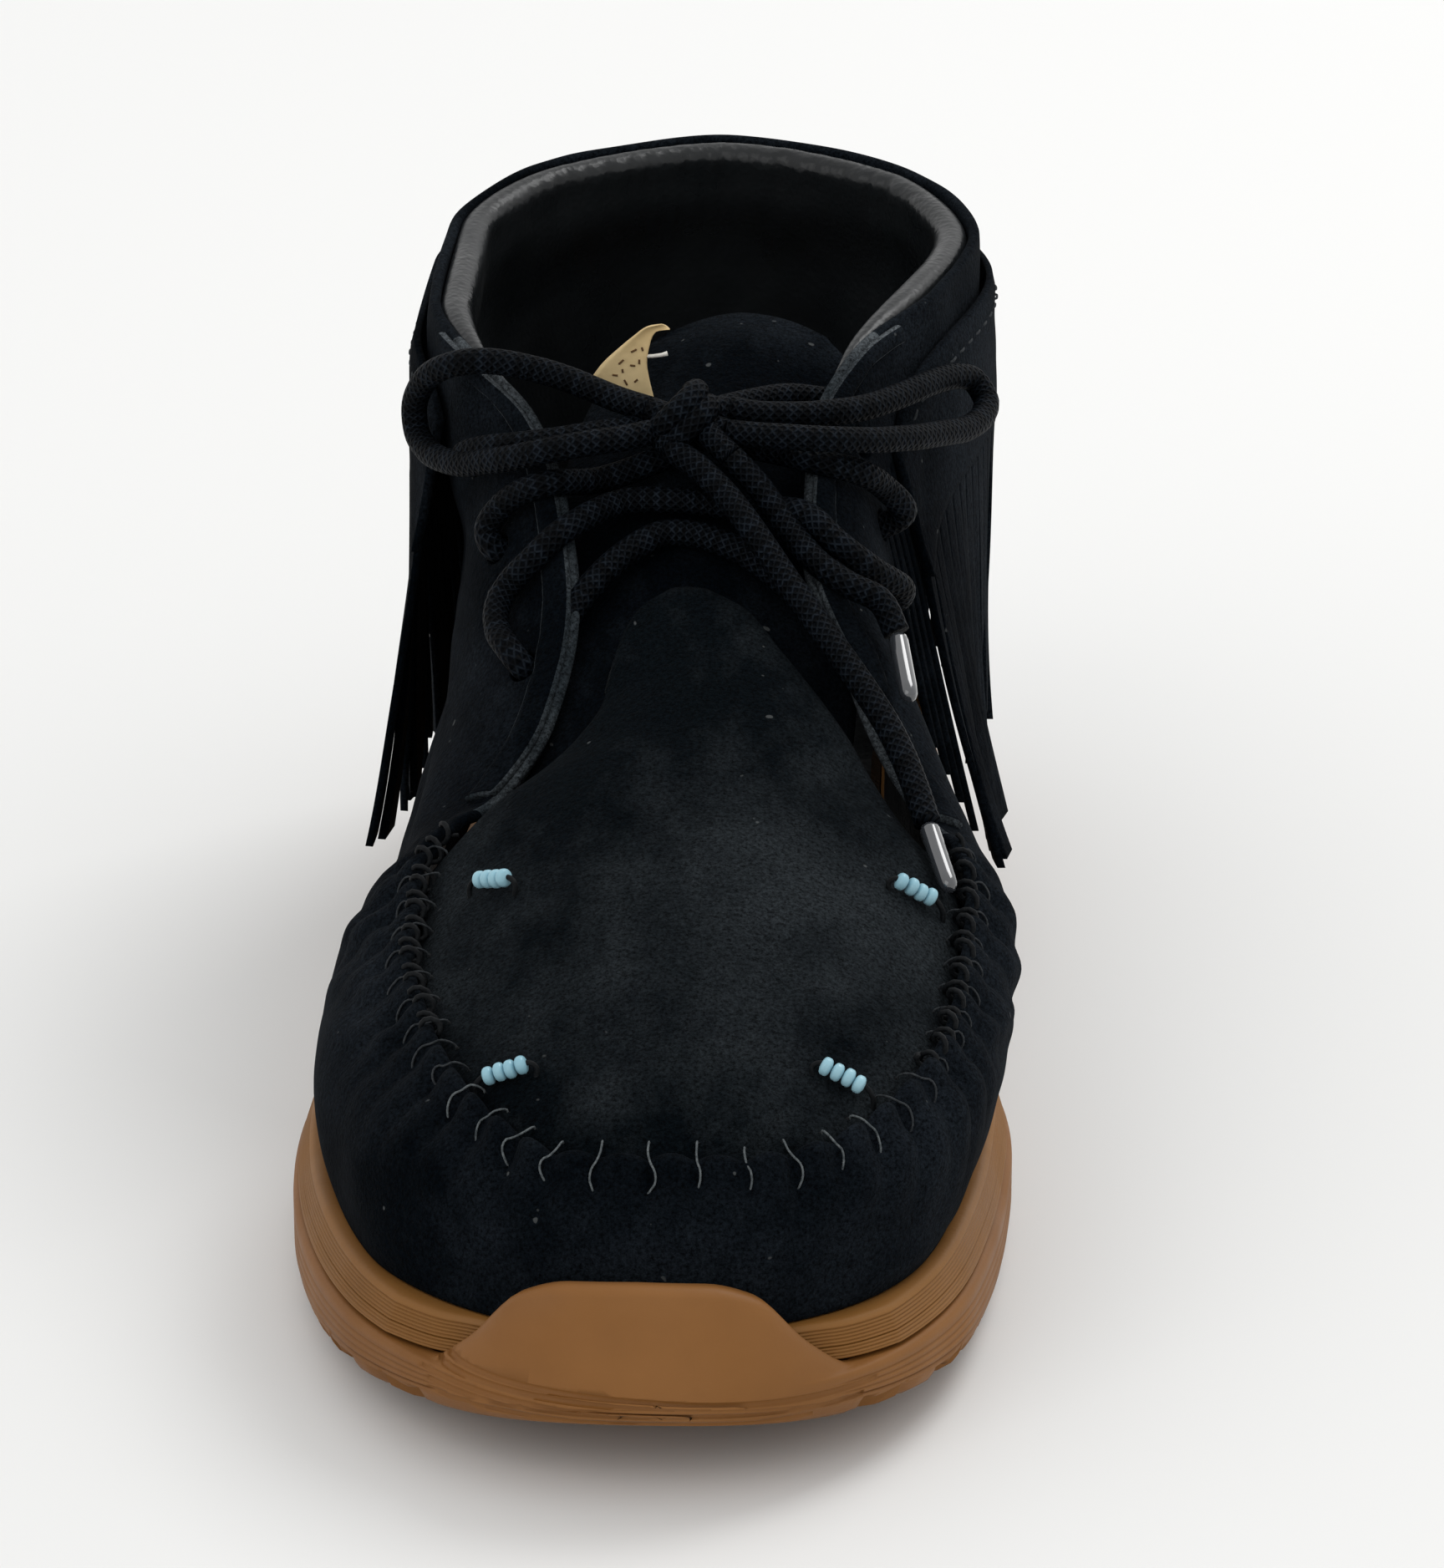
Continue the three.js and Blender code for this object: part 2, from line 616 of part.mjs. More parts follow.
const plugPoint = (i, j, deep) => {
  const y = lerp(plugStart, plugEnd, (j / (PLUG_ROWS - 1)) ** 1.15);
  const point = plugAt(y, (2 * i) / (PLUG_COLUMNS - 1) - 1);
  point.z -= deep;
  return point;
};
add('toe_plug', slab(PLUG_COLUMNS, PLUG_ROWS,
  (i, j) => plugPoint(i, j, 0), (i, j) => plugPoint(i, j, PLUG_THICK)), 0x1c2028, 0.95);

// Tongue: shares of the length, of the inner half width, of the height
const TONGUE = table('along middle half up drop', [
  [0.331, 0.04, 0.44, 0.56, 0.06],
  [0.397, 0.02, 0.47, 0.617, 0.11],
  [0.476, 0.02, 0.5, 0.695, 0.085],
  [0.534, 0.02, 0.47, 0.78, 0.08],
  [0.586, 0.03, 0.43, 0.85, 0.075],
  [0.631, 0.06, 0.41, 0.897, 0.06],
  [0.666, 0.11, 0.37, 0.935, 0.045],
  [0.686, 0.14, 0.25, 0.951, 0.02],
]);
const TONGUE_CURL = 1.8;
function tongueAt(y, u) {
  const read = (column) => track(TONGUE, 'along', column, y / SOLE_LENGTH);
  const x = MEDIAL_HALF * (read('middle') + u * read('half'));
  return vec(x, y, COLLAR_HEIGHT * (read('up') - read('drop') * Math.abs(u) ** TONGUE_CURL));
}
const TONGUE_ROWS = 12;
const TONGUE_COLUMNS = 9;
const tonguePoint = (i, j, deep) => {
  const from = TONGUE[0].along * SOLE_LENGTH;
  const to = TONGUE[TONGUE.length - 1].along * SOLE_LENGTH;
  const point = tongueAt(lerp(from, to, j / (TONGUE_ROWS - 1)), (2 * i) / (TONGUE_COLUMNS - 1) - 1);
  point.z -= deep;
  return point;
};
add('tongue', slab(TONGUE_COLUMNS, TONGUE_ROWS,
  (i, j) => tonguePoint(i, j, 0), (i, j) => tonguePoint(i, j, TONGUE_THICK)), 0x1a1d24, 0.9);

// Fringe cape: an uncut band under the collar and strips that hang from it, as one solid.
// Its place is a station: rows before the heel's middle, outer side negative.
const CAPE_OUTER = -4; // station of its front edge on the outer side
const CAPE_INNER = 4.2;
const CAPE_TIP = 0.24; // share of the collar's height
const BAND_SHARE = 0.3; // share of the fall that stays uncut
const CAPE_HANG = 1.2;
// Top line as a share of the collar's height, turn of the tips on the outline, and how far the
// tips stand out of it as a share of the outer half width
const CAPE = {
  [LATERAL]: table('station top turn out', [
    [0, 0.93, 1, 0.03],
    [1, 0.92, 0.83, 0.04],
    [2, 0.91, 0.73, 0.06],
    [3, 0.9, 0.645, 0.08],
    [3.6, 0.87, 0.585, 0.09],
    [4.2, 0.8, 0.525, 0.09],
  ]),
  [MEDIAL]: table('station top turn out', [
    [0, 0.93, 1, 0.03],
    [1, 0.92, 0.83, 0.04],
    [2, 0.91, 0.73, 0.07],
    [3, 0.9, 0.645, 0.12],
    [3.6, 0.87, 0.59, 0.15],
    [4.2, 0.8, 0.545, 0.16],
  ]),
};
function capeAt(station, fall, proud) {
  const side = station < 0 ? LATERAL : MEDIAL;
  const read = (column) => track(CAPE[side], 'station', column, Math.abs(station));
  const row = HEEL_ROW - Math.abs(station);
  const top = COLLAR_HEIGHT * read('top');
  let low = 0.02;
  let high = 0.97;
  for (let k = 0; k < 24; k++) {
    const middle = (low + high) / 2;
    if (skinAt(side, row, middle).z < top) low = middle;
    else high = middle;
  }
  const away = skinNormal(side, row, low).setZ(0).normalize();
  const stand = lerp(FRINGE_SEWN, FRINGE_STAND, Math.min(fall / BAND_SHARE, 1));
  const hung = skinAt(side, row, low).addScaledVector(away, stand + proud);
  const tip = outlineAt(side, read('turn'), -LATERAL_HALF * read('out') - proud).point;
  const point = hung.lerp(tip, fall ** CAPE_HANG);
  point.z = lerp(top, COLLAR_HEIGHT * CAPE_TIP, fall);
  return point;
}

// Stations of the cuts, evenly spaced along the band's lower edge
function capeCuts() {
  const steps = 120;
  const lengths = [0];
  const stations = Array.from({ length: steps + 1 }, (_, k) => lerp(CAPE_OUTER, CAPE_INNER, k / steps));
  const path = stations.map((station) => capeAt(station, BAND_SHARE, 0));
  path.slice(1).forEach((point, k) => lengths.push(lengths[k] + point.distanceTo(path[k])));
  const rows = stations.map((station, k) => ({ station, length: lengths[k] }));
  const pitch = (lengths[steps] + STRIP_GAP) / STRIP_COUNT;
  const cuts = [];
  for (let k = 0; k < STRIP_COUNT; k++) {
    cuts.push(track(rows, 'length', 'station', k * pitch));
    cuts.push(track(rows, 'length', 'station', (k + 1) * pitch - STRIP_GAP));
  }
  return cuts;
}
const CAPE_FALLS = [0, 0.15, BAND_SHARE, 0.48, 0.66, 0.83, 1];
const BAND_CELLS = 2;
const cuts = capeCuts();
const cape = slab(cuts.length, CAPE_FALLS.length,
  (i, j) => capeAt(cuts[i], CAPE_FALLS[j], FRINGE_THICK),
  (i, j) => capeAt(cuts[i], CAPE_FALLS[j], 0),
  false, (i, j) => i % 2 === 0 || j < BAND_CELLS);
add('fringe_cape', cape, 0x14171e, 0.95);

// A place over the tongue: shares of the inner half width, of the length and of the height
const placed = ([across, along, up]) => vec(MEDIAL_HALF * across, SOLE_LENGTH * along, COLLAR_HEIGHT * up);

// Tag: a small leather triangle that stands over the tongue, across and up from its foot
const TAG_CORNERS = [
  [-6.5, 0], [-7.7, 5.2], [-7, 9], [-3.9, 12], [-6.2, 12.4], [-12.5, 7.7], [-16.6, 3.3], [-11.4, 0.3],
];
const TAG_FOOT = [0, 0.6203, 0.8803];
const TAG_LEAN = 0.2;
const tagShape = new THREE.Shape(TAG_CORNERS.map(([x, rise]) => new THREE.Vector2(x, rise)));
const tag = new THREE.ExtrudeGeometry(tagShape, { depth: TAG_THICK, bevelEnabled: false });
tag.rotateX(Math.PI / 2 - TAG_LEAN).translate(...placed(TAG_FOOT).toArray());
add('tongue_tag', geometryOf(solidOf(tag)), 0xd7b98c, 0.8);

// A place over the plug, at its share of the length and across it from -1 to 1
function overPlug([along, across]) {
  const y = along * SOLE_LENGTH;
  const ahead = plugAt(y + 1, across).sub(plugAt(y - 1, across));
  const sidewise = plugAt(y, across + 0.02).sub(plugAt(y, across - 0.02));
  const normal = sidewise.cross(ahead).normalize();
  return plugAt(y, across).addScaledVector(normal, BEAD / 2 + 2 * CLEARANCE);
}

// Bead rows: four beads on a thread, each row one scalloped solid on the plug
function beadRow(name, start, end) {
  const from = overPlug(start);
  const to = overPlug(end);
  const profile = [new THREE.Vector2(0, 0)];
  for (let k = 0; k < BEADS_IN_ROW; k++) {
    const start = k * BEAD_LENGTH;
    profile.push(new THREE.Vector2(BEAD * 0.3, start + (k ? 0 : 0.01)));
    profile.push(new THREE.Vector2(BEAD / 2, start + BEAD_LENGTH * 0.5));
  }
  const length = BEADS_IN_ROW * BEAD_LENGTH;
  profile.push(new THREE.Vector2(BEAD * 0.3, length - 0.01), new THREE.Vector2(0, length));
  const row = new THREE.LatheGeometry(profile, 7);
  const middle = to.clone().add(from).multiplyScalar(0.5);
  const along = to.sub(from);
  const turn = new THREE.Quaternion().setFromUnitVectors(vec(0, 1, 0), along.normalize());
  row.translate(0, -length / 2, 0).applyQuaternion(turn).translate(middle.x, middle.y, middle.z);
  add(name, geometryOf(solidOf(row)), 0x7fbccb, 0.3);
}
beadRow('bead_row_1', [0.129, -0.92], [0.126, -0.69]);
beadRow('bead_row_2', [0.1255, 0.65], [0.122, 0.853]);
beadRow('bead_row_3', [0.2876, -0.79], [0.268, -0.62]);
beadRow('bead_row_4', [0.2876, 0.738], [0.292, 0.884]);

// A piece of lace along its points
function lace(points) {
  const route = new THREE.CatmullRomCurve3(points.map(placed));
  const sides = 8;
  const section = new THREE.Shape(Array.from({ length: sides }, (_, k) => {
    const angle = (2 * Math.PI * (k + 0.5)) / sides;
    return new THREE.Vector2(Math.cos(angle), Math.sin(angle)).multiplyScalar(LACE / 2);
  }));
  const steps = Math.ceil(route.getLength() / (1.3 * LACE));
  return solidOf(new THREE.ExtrudeGeometry(section, { steps, extrudePath: route, bevelEnabled: false }));
}

// Bars of the lace over the tongue
const BAR_LOW = [
  [-0.259, 0.4945, 0.7322], [-0.1714, 0.5069, 0.7602], [-0.0667, 0.5162, 0.7788], [0.0667, 0.5138, 0.7763],
  [0.219, 0.5021, 0.7542],
];
const BAR_MIDDLE = [
  [-0.3429, 0.5224, 0.8008], [-0.2, 0.5345, 0.8051], [-0.0381, 0.5328, 0.811], [0.1143, 0.5328, 0.8034],
  [0.2286, 0.5345, 0.7881],
];
const BAR_INNER = [
  [0.3048, 0.5517, 0.839], [0.2381, 0.5655, 0.8475], [0.0857, 0.5724, 0.8559], [-0.0876, 0.5603, 0.8449],
  [-0.2667, 0.5552, 0.8186],
];
const BAR_TOP = [
  [-0.2952, 0.5672, 0.8508], [-0.2095, 0.5793, 0.8559], [-0.1143, 0.5897, 0.8746], [0.101, 0.6017, 0.8983],
  [0.2857, 0.6172, 0.9025],
];
const BAR_OUTER = [
  [0.3143, 0.5655, 0.8576], [0.2286, 0.5759, 0.861], [0.0952, 0.5897, 0.8771], [-0.1143, 0.5983, 0.8839],
  [-0.2857, 0.5983, 0.8602],
];
add('lace_bar_low', geometryOf(lace(BAR_LOW)), 0x101218, 0.8);
add('lace_bar_middle', geometryOf(lace(BAR_MIDDLE)), 0x101218, 0.8);
add('lace_crossings', geometryOf(lace(BAR_INNER).add(lace(BAR_TOP)).add(lace(BAR_OUTER))), 0x101218, 0.8);

// Origin at the middle of the box that stands on the floor, taken without the bow
const box = new THREE.Box3().setFromObject(group);
shoe.position.set(-(box.min.x + box.max.x) / 2, -(box.min.y + box.max.y) / 2, -box.min.z);

// The bow: knot, two loops and two ends with their aglets
const KNOT = [-0.0171, 0.5603, 0.8992];
const knot = new THREE.SphereGeometry(1, 10, 6).scale(1.45 * LACE, 0.95 * LACE, 0.86 * LACE).rotateX(-0.5)
  .translate(...placed(KNOT).toArray());
const LOOP_OUTER = [
  [-0.12, 0.5703, 0.9059], [-0.2152, 0.5817, 0.9093], [-0.2857, 0.5893, 0.9153], [-0.3581, 0.5959, 0.9229],
  [-0.4343, 0.6003, 0.9305], [-0.5143, 0.6017, 0.9381], [-0.5962, 0.6021, 0.9441], [-0.6762, 0.6041, 0.9424],
  [-0.7467, 0.6103, 0.9305], [-0.8, 0.6186, 0.9119], [-0.8381, 0.6266, 0.8864], [-0.861, 0.6314, 0.8534],
  [-0.8514, 0.6269, 0.8203], [-0.8171, 0.6145, 0.8076], [-0.7771, 0.6017, 0.8068], [-0.7295, 0.5893, 0.811],
  [-0.68, 0.5779, 0.8186], [-0.6286, 0.5676, 0.8305], [-0.5733, 0.5576, 0.8424], [-0.5124, 0.549, 0.8551],
  [-0.4438, 0.5421, 0.8678], [-0.3676, 0.5386, 0.878], [-0.2876, 0.539, 0.8847], [-0.2076, 0.5424, 0.8873],
  [-0.1143, 0.55, 0.8907],
];
const LOOP_INNER = [
  [0.1181, 0.5672, 0.911], [0.2019, 0.5669, 0.9051], [0.2819, 0.569, 0.9025], [0.3619, 0.5734, 0.9],
  [0.4343, 0.5807, 0.8975], [0.4933, 0.5907, 0.8932], [0.5467, 0.6024, 0.8898], [0.5924, 0.6148, 0.8873],
  [0.6343, 0.6276, 0.8847], [0.6762, 0.6407, 0.8831], [0.7143, 0.6541, 0.8797], [0.7543, 0.6672, 0.8754],
  [0.7962, 0.6797, 0.8686], [0.8457, 0.69, 0.8542], [0.8838, 0.6845, 0.8305], [0.8762, 0.6703, 0.8212],
  [0.8514, 0.6559, 0.8203], [0.819, 0.6421, 0.8237], [0.7829, 0.629, 0.8314], [0.7448, 0.6162, 0.839],
  [0.7048, 0.6031, 0.8466], [0.6648, 0.5907, 0.8542], [0.6171, 0.5786, 0.8627], [0.5676, 0.5672, 0.8703],
  [0.5105, 0.5569, 0.8788], [0.4438, 0.5483, 0.8864], [0.3657, 0.5434, 0.8915], [0.2838, 0.5434, 0.8932],
  [0.2019, 0.5466, 0.8924], [0.1219, 0.5503, 0.8924],
];
const END_LONG = [
  [-0.0495, 0.5424, 0.8754], [0.0381, 0.5303, 0.8585], [0.1143, 0.5166, 0.8373], [0.1829, 0.5021, 0.8119],
  [0.2476, 0.489, 0.7822], [0.3105, 0.4759, 0.7525], [0.3752, 0.461, 0.7263], [0.44, 0.4472, 0.6983],
  [0.5029, 0.4331, 0.6712], [0.5638, 0.4179, 0.6458], [0.621, 0.4024, 0.6195], [0.6686, 0.3862, 0.5924],
  [0.7067, 0.3693, 0.5653], [0.741, 0.3524, 0.5364],
];
const END_SHORT = [
  [0.1333, 0.5345, 0.8712], [0.2095, 0.5269, 0.8407], [0.2743, 0.5172, 0.8093], [0.3371, 0.5045, 0.7822],
  [0.4038, 0.491, 0.761], [0.4895, 0.481, 0.7432], [0.5867, 0.4797, 0.7212], [0.6362, 0.4703, 0.6856],
];
add('lace_knot', geometryOf(solidOf(knot)), 0x101218, 0.8);
add('bow_loop_outer', geometryOf(lace(LOOP_OUTER)), 0x101218, 0.8);
add('bow_loop_inner', geometryOf(lace(LOOP_INNER)), 0x101218, 0.8);
add('lace_end_long', geometryOf(lace(END_LONG)), 0x101218, 0.8);
add('lace_end_short', geometryOf(lace(END_SHORT)), 0x101218, 0.8);

// Aglets carry on from the ends of the lace
function aglet(name, points, bend) {
  const last = placed(points[points.length - 1]);
  const along = last.clone().sub(placed(points[points.length - 2])).normalize();
  along.add(vec(...bend)).normalize();
  const sleeve = new THREE.CylinderGeometry(AGLET / 2, AGLET / 2, AGLET_LENGTH, 8);
  const middle = last.addScaledVector(along, AGLET_LENGTH / 2 + CLEARANCE + LACE / 4);
  sleeve.applyQuaternion(new THREE.Quaternion().setFromUnitVectors(vec(0, 1, 0), along));
  add(name, geometryOf(solidOf(sleeve.translate(middle.x, middle.y, middle.z))), 0x30333a, 0.2);
}
aglet('aglet_long', END_LONG, [0, -0.3, 0.15]);
aglet('aglet_short', END_SHORT, [-0.25, -0.8, 0.25]);

export default group;
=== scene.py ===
"""Looks of a fringed suede moccasin boot on a gum rubber sole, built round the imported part."""
import math

import bpy
import numpy as np
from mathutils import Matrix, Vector


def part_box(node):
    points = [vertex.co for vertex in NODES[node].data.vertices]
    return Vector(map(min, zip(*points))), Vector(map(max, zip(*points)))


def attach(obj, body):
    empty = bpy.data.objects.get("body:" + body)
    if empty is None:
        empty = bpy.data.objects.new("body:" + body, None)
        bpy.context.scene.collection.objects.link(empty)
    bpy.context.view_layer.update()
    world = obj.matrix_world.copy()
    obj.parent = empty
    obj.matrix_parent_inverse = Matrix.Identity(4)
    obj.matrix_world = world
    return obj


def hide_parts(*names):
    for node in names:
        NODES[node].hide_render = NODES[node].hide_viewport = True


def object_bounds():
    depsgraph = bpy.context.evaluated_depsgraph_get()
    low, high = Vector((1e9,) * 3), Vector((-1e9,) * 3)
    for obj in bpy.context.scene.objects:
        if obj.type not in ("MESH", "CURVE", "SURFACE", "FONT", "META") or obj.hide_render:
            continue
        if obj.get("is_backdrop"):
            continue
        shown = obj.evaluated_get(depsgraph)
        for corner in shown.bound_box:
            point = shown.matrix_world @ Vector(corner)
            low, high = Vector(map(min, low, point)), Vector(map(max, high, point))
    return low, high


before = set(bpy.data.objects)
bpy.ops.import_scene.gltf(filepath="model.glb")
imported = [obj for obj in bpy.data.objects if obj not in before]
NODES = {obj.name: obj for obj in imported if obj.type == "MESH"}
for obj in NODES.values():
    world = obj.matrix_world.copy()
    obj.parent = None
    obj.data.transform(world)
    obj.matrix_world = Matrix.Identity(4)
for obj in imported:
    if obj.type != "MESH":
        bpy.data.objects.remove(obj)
CAD_BOX = [list(corner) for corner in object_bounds()]
SEED = 11
draw = np.random.default_rng(SEED)

# Sizes of the part, in millimetres
SOLE_LENGTH = 290
LATERAL_HALF = 56
MEDIAL_HALF = 52.5
COLLAR_HEIGHT = 118
TOE_SPRING = 12
GROOVE_HEIGHT = 18
SIDEWALL_HEIGHT = 38
CLEARANCE = 0.3
SOLE_BEVEL = 5
LEDGE = 5
RECESS_DEPTH = 6
TREAD_DEPTH = 3
TREAD_WIDTH = 4
TREAD_PITCH = 14
BUMPER_WALL = 3.6
BUMPER_TOP = 32
SUEDE = 2.2
QUARTER_WALL = 3.2
COLLAR_PAD = 7.5
PLUG_THICK = 2
TONGUE_THICK = 3.5
SEAM_STEP = 2.5
FRINGE_THICK = 1.8
FRINGE_SEWN = 0.6
FRINGE_STAND = 2
LACE = 4.2
LACE_HOLE = 5.4
MM = 0.001
LATERAL, MEDIAL = -1, 1


# Curves over tables
def table(names, rows):
    return dict(zip(names.split(), np.array(rows, float).T))


def track(rows, over, column, u, level_ends=False):
    """A column of a table as a monotone smooth curve over another column."""
    x, y = rows[over], rows[column]
    u = np.clip(np.asarray(u, float), x[0], x[-1])
    slope = np.diff(y) / np.diff(x)
    before, after = slope[:-1], slope[1:]
    same = before * after > 0
    tangent = np.zeros(len(x))
    tangent[1:-1] = np.where(same, 2 * before * after / np.where(same, before + after, 1), 0)
    if not level_ends:
        tangent[0], tangent[-1] = slope[0], slope[-1]
    k = np.clip(np.searchsorted(x, u, side="right") - 1, 0, len(x) - 2)
    span = np.diff(x)[k]
    t = (u - x[k]) / span
    start = (1 + 2 * t) * (1 - t) ** 2 * y[k] + t * (1 - t) ** 2 * span * tangent[k]
    return start + t * t * (3 - 2 * t) * y[k + 1] + t * t * (t - 1) * span * tangent[k + 1]


def columns(rows, over, names, u):
    return [track(rows, over, column, u) for column in names.split()]


def lerp(a, b, t):
    return a + (b - a) * t


def smoothstep(x, low, high):
    t = np.clip((np.asarray(x, float) - low) / (high - low), 0, 1)
    return t * t * (3 - 2 * t)


def unit(v):
    return v / np.maximum(np.linalg.norm(v, axis=-1, keepdims=True), 1e-12)


def lengths_along(points):
    """Running length along a line of points."""
    return np.concatenate([[0], np.cumsum(np.linalg.norm(np.diff(points, axis=0), axis=1))])


def grid(across, down):
    return np.meshgrid(across, down, indexing="ij")


# Outline of the sole
OUTLINE = table("at lateral medial", [
    [0, 1.07, 1.16], [0.05, 1.073, 1.162], [0.1, 1.09, 1.15], [0.2, 1.079, 1.086],
    [0.27, 1.064, 1.053], [0.33, 1.04, 1.029], [0.38, 1.006, 0.987], [0.5, 0.893, 0.8],
    [0.6, 0.798, 0.745], [0.7, 0.746, 0.765], [0.8, 0.794, 0.858], [0.9, 0.865, 0.963],
    [1, 0.86, 0.97],
])
END_BLUNTNESS = 2.5
SOLE_RISE = table("at bottom groove wall", [
    [0, 1, 0.97, 0.605], [0.03, 0.78, 0.94, 0.59], [0.08, 0.52, 0.9, 0.58],
    [0.16, 0.22, 0.85, 0.575], [0.26, 0, 0.78, 0.54], [0.4, 0, 0.72, 0.58],
    [0.52, 0.2, 0.8, 0.68], [0.62, 0.1, 0.85, 0.8], [0.68, 0, 0.87, 0.86],
    [0.9, 0, 0.95, 0.96], [0.96, 0.06, 1, 0.99], [1, 0.35, 1.04, 1],
])


def sole_height(size, column):
    return lambda y: size * track(SOLE_RISE, "at", column, y / SOLE_LENGTH)


bottom_z = sole_height(TOE_SPRING, "bottom")
groove_z = sole_height(GROOVE_HEIGHT, "groove")
wall_z = sole_height(SIDEWALL_HEIGHT, "wall")


def place_on_outline(side, t):
    u = (1 - np.cos(np.pi * t)) / 2
    envelope = np.maximum(1 - np.abs(2 * u - 1) ** END_BLUNTNESS, 0) ** (1 / END_BLUNTNESS)
    outer = -LATERAL_HALF * track(OUTLINE, "at", "lateral", u)
    inner = MEDIAL_HALF * track(OUTLINE, "at", "medial", u)
    half = np.where(side < 0, outer, inner) * envelope
    return np.stack([half, SOLE_LENGTH * u, np.zeros_like(u)], -1)


def outline_at(side, turn, inset=0.0):
    """Point and outward normal of the outline; turn is 0 at the toe and 1 at the heel."""
    side, turn = np.broadcast_arrays(np.asarray(side, float), np.asarray(turn, float))
    step = 0.002
    mirror = np.array([-1.0, 1, 1])
    point = place_on_outline(side, turn)
    low, high = turn - step, turn + step
    before = place_on_outline(side, np.abs(low)) * np.where(low[..., None] < 0, mirror, 1)
    after = place_on_outline(side, np.where(high > 1, 2 - high, high))
    after = after * np.where(high[..., None] > 1, mirror, 1)
    along = unit(after - before)
    normal = np.stack([side * along[..., 1], -side * along[..., 0], np.zeros_like(turn)], -1)
    return point - normal * np.asarray(inset, float)[..., None], normal


# The part stands in the middle of its box; its outsole says where
ring_turn = np.linspace(0, 1, 31)
widest = [outline_at(side, ring_turn)[0][:, 0] for side in (LATERAL, MEDIAL)]
sole_low, sole_high = (np.array(c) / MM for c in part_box("outsole"))
SHIFT = np.array([
    (sole_low[0] + sole_high[0]) / 2 - (widest[0].min() + widest[1].max()) / 2, sole_low[1], 0,
])


def metres(points):
    return (np.asarray(points, float) + SHIFT) * MM


# Camera, where the photograph's was
CAMERA_AT = (51, -867, 461)
CAMERA_DOWN = 22.0
CAMERA_TURN = 2.55
FOCAL = 159.0
camera_data = bpy.data.cameras.new("camera")
camera_data.lens = FOCAL
camera_data.clip_start, camera_data.clip_end = 0.05, 20
camera = bpy.data.objects.new("camera", camera_data)
camera.location = metres(CAMERA_AT)
camera.rotation_euler = (math.radians(90 - CAMERA_DOWN), 0, math.radians(CAMERA_TURN))
bpy.context.scene.collection.objects.link(camera)
bpy.context.scene.camera = camera
bpy.context.scene.view_settings.view_transform = "Standard"

# Top edge of the upper
EDGE = {
    LATERAL: table("row turn along across up", [
        [0, 0, 0.064, -0.018, 0.364], [1, 0.06, 0.067, 0.196, 0.364],
        [2, 0.12, 0.086, 0.339, 0.373], [3, 0.2, 0.131, 0.5, 0.394],
        [4, 0.27, 0.19, 0.607, 0.411], [5, 0.34, 0.259, 0.679, 0.432],
        [6, 0.39, 0.328, 0.679, 0.458], [7, 0.425, 0.362, 0.616, 0.487],
        [8, 0.45, 0.386, 0.5, 0.517], [9, 0.475, 0.421, 0.357, 0.602],
        [10, 0.51, 0.476, 0.304, 0.703], [11, 0.545, 0.534, 0.357, 0.805],
        [12, 0.58, 0.586, 0.464, 0.881], [13, 0.62, 0.631, 0.661, 0.932],
        [14, 0.68, 0.707, 0.795, 0.949], [15, 0.76, 0.821, 0.786, 0.966],
        [16, 0.86, 0.903, 0.589, 0.987], [17, 1, 0.955, -0.018, 1],
    ]),
    MEDIAL: table("row turn along across up", [
        [0, 0, 0.064, 0.019, 0.364], [1, 0.06, 0.064, 0.267, 0.364],
        [2, 0.12, 0.079, 0.505, 0.373], [3, 0.2, 0.124, 0.705, 0.394],
        [4, 0.27, 0.186, 0.829, 0.411], [5, 0.34, 0.259, 0.867, 0.432],
        [6, 0.385, 0.317, 0.876, 0.458], [7, 0.41, 0.348, 0.838, 0.492],
        [8, 0.435, 0.372, 0.762, 0.513], [9, 0.46, 0.403, 0.648, 0.559],
        [10, 0.49, 0.452, 0.495, 0.661], [11, 0.52, 0.51, 0.371, 0.763],
        [12, 0.555, 0.579, 0.381, 0.864], [13, 0.6, 0.645, 0.514, 0.936],
        [14, 0.66, 0.714, 0.724, 0.958], [15, 0.74, 0.81, 0.848, 0.97],
        [16, 0.86, 0.903, 0.648, 0.987], [17, 1, 0.955, 0.019, 1],
    ]),
}
HEEL_ROW = 17
SEAM_ROW = 7.5
COLLAR_ROW = 13
FORM = table("row belly shoulder drop", [
    [0, 0.02, 0.1, 0.06], [2, 0.03, 0.116, 0.05], [3, 0.054, 0.16, 0.04],
    [5, 0.08, 0.2, 0.04], [7, 0.06, 0.21, 0.06], [8, 0.045, 0.25, 0.07],
    [9, 0.03, 0.32, 0.07], [10, 0.015, 0.34, 0.07], [11, 0.01, 0.32, 0.08],
    [12, 0.01, 0.25, 0.1], [13, 0.02, 0.125, 0.15], [14, 0.04, 0.06, 0.2],
    [15, 0.04, 0.06, 0.22], [16, 0.03, 0.054, 0.22], [17, 0.03, 0.045, 0.2],
])


def sided(side, read):
    """What read gives for the outer or the inner side, place by place."""
    return np.where(side < 0, read(LATERAL), read(MEDIAL))


def edge_at(side, row):
    """Top edge of the upper."""
    side, row = np.broadcast_arrays(np.asarray(side, float), np.asarray(row, float))
    half = np.where(side < 0, LATERAL_HALF, MEDIAL_HALF)

    def read(column):
        return sided(side, lambda s: track(EDGE[s], "row", column, row, column != "across"))

    across, along, up = read("across"), read("along"), read("up")
    return np.stack([side * half * across, SOLE_LENGTH * along, COLLAR_HEIGHT * up], -1)


def toe_ledge(turn):
    return BUMPER_WALL * (1 - smoothstep(turn, 0.08, 0.22))


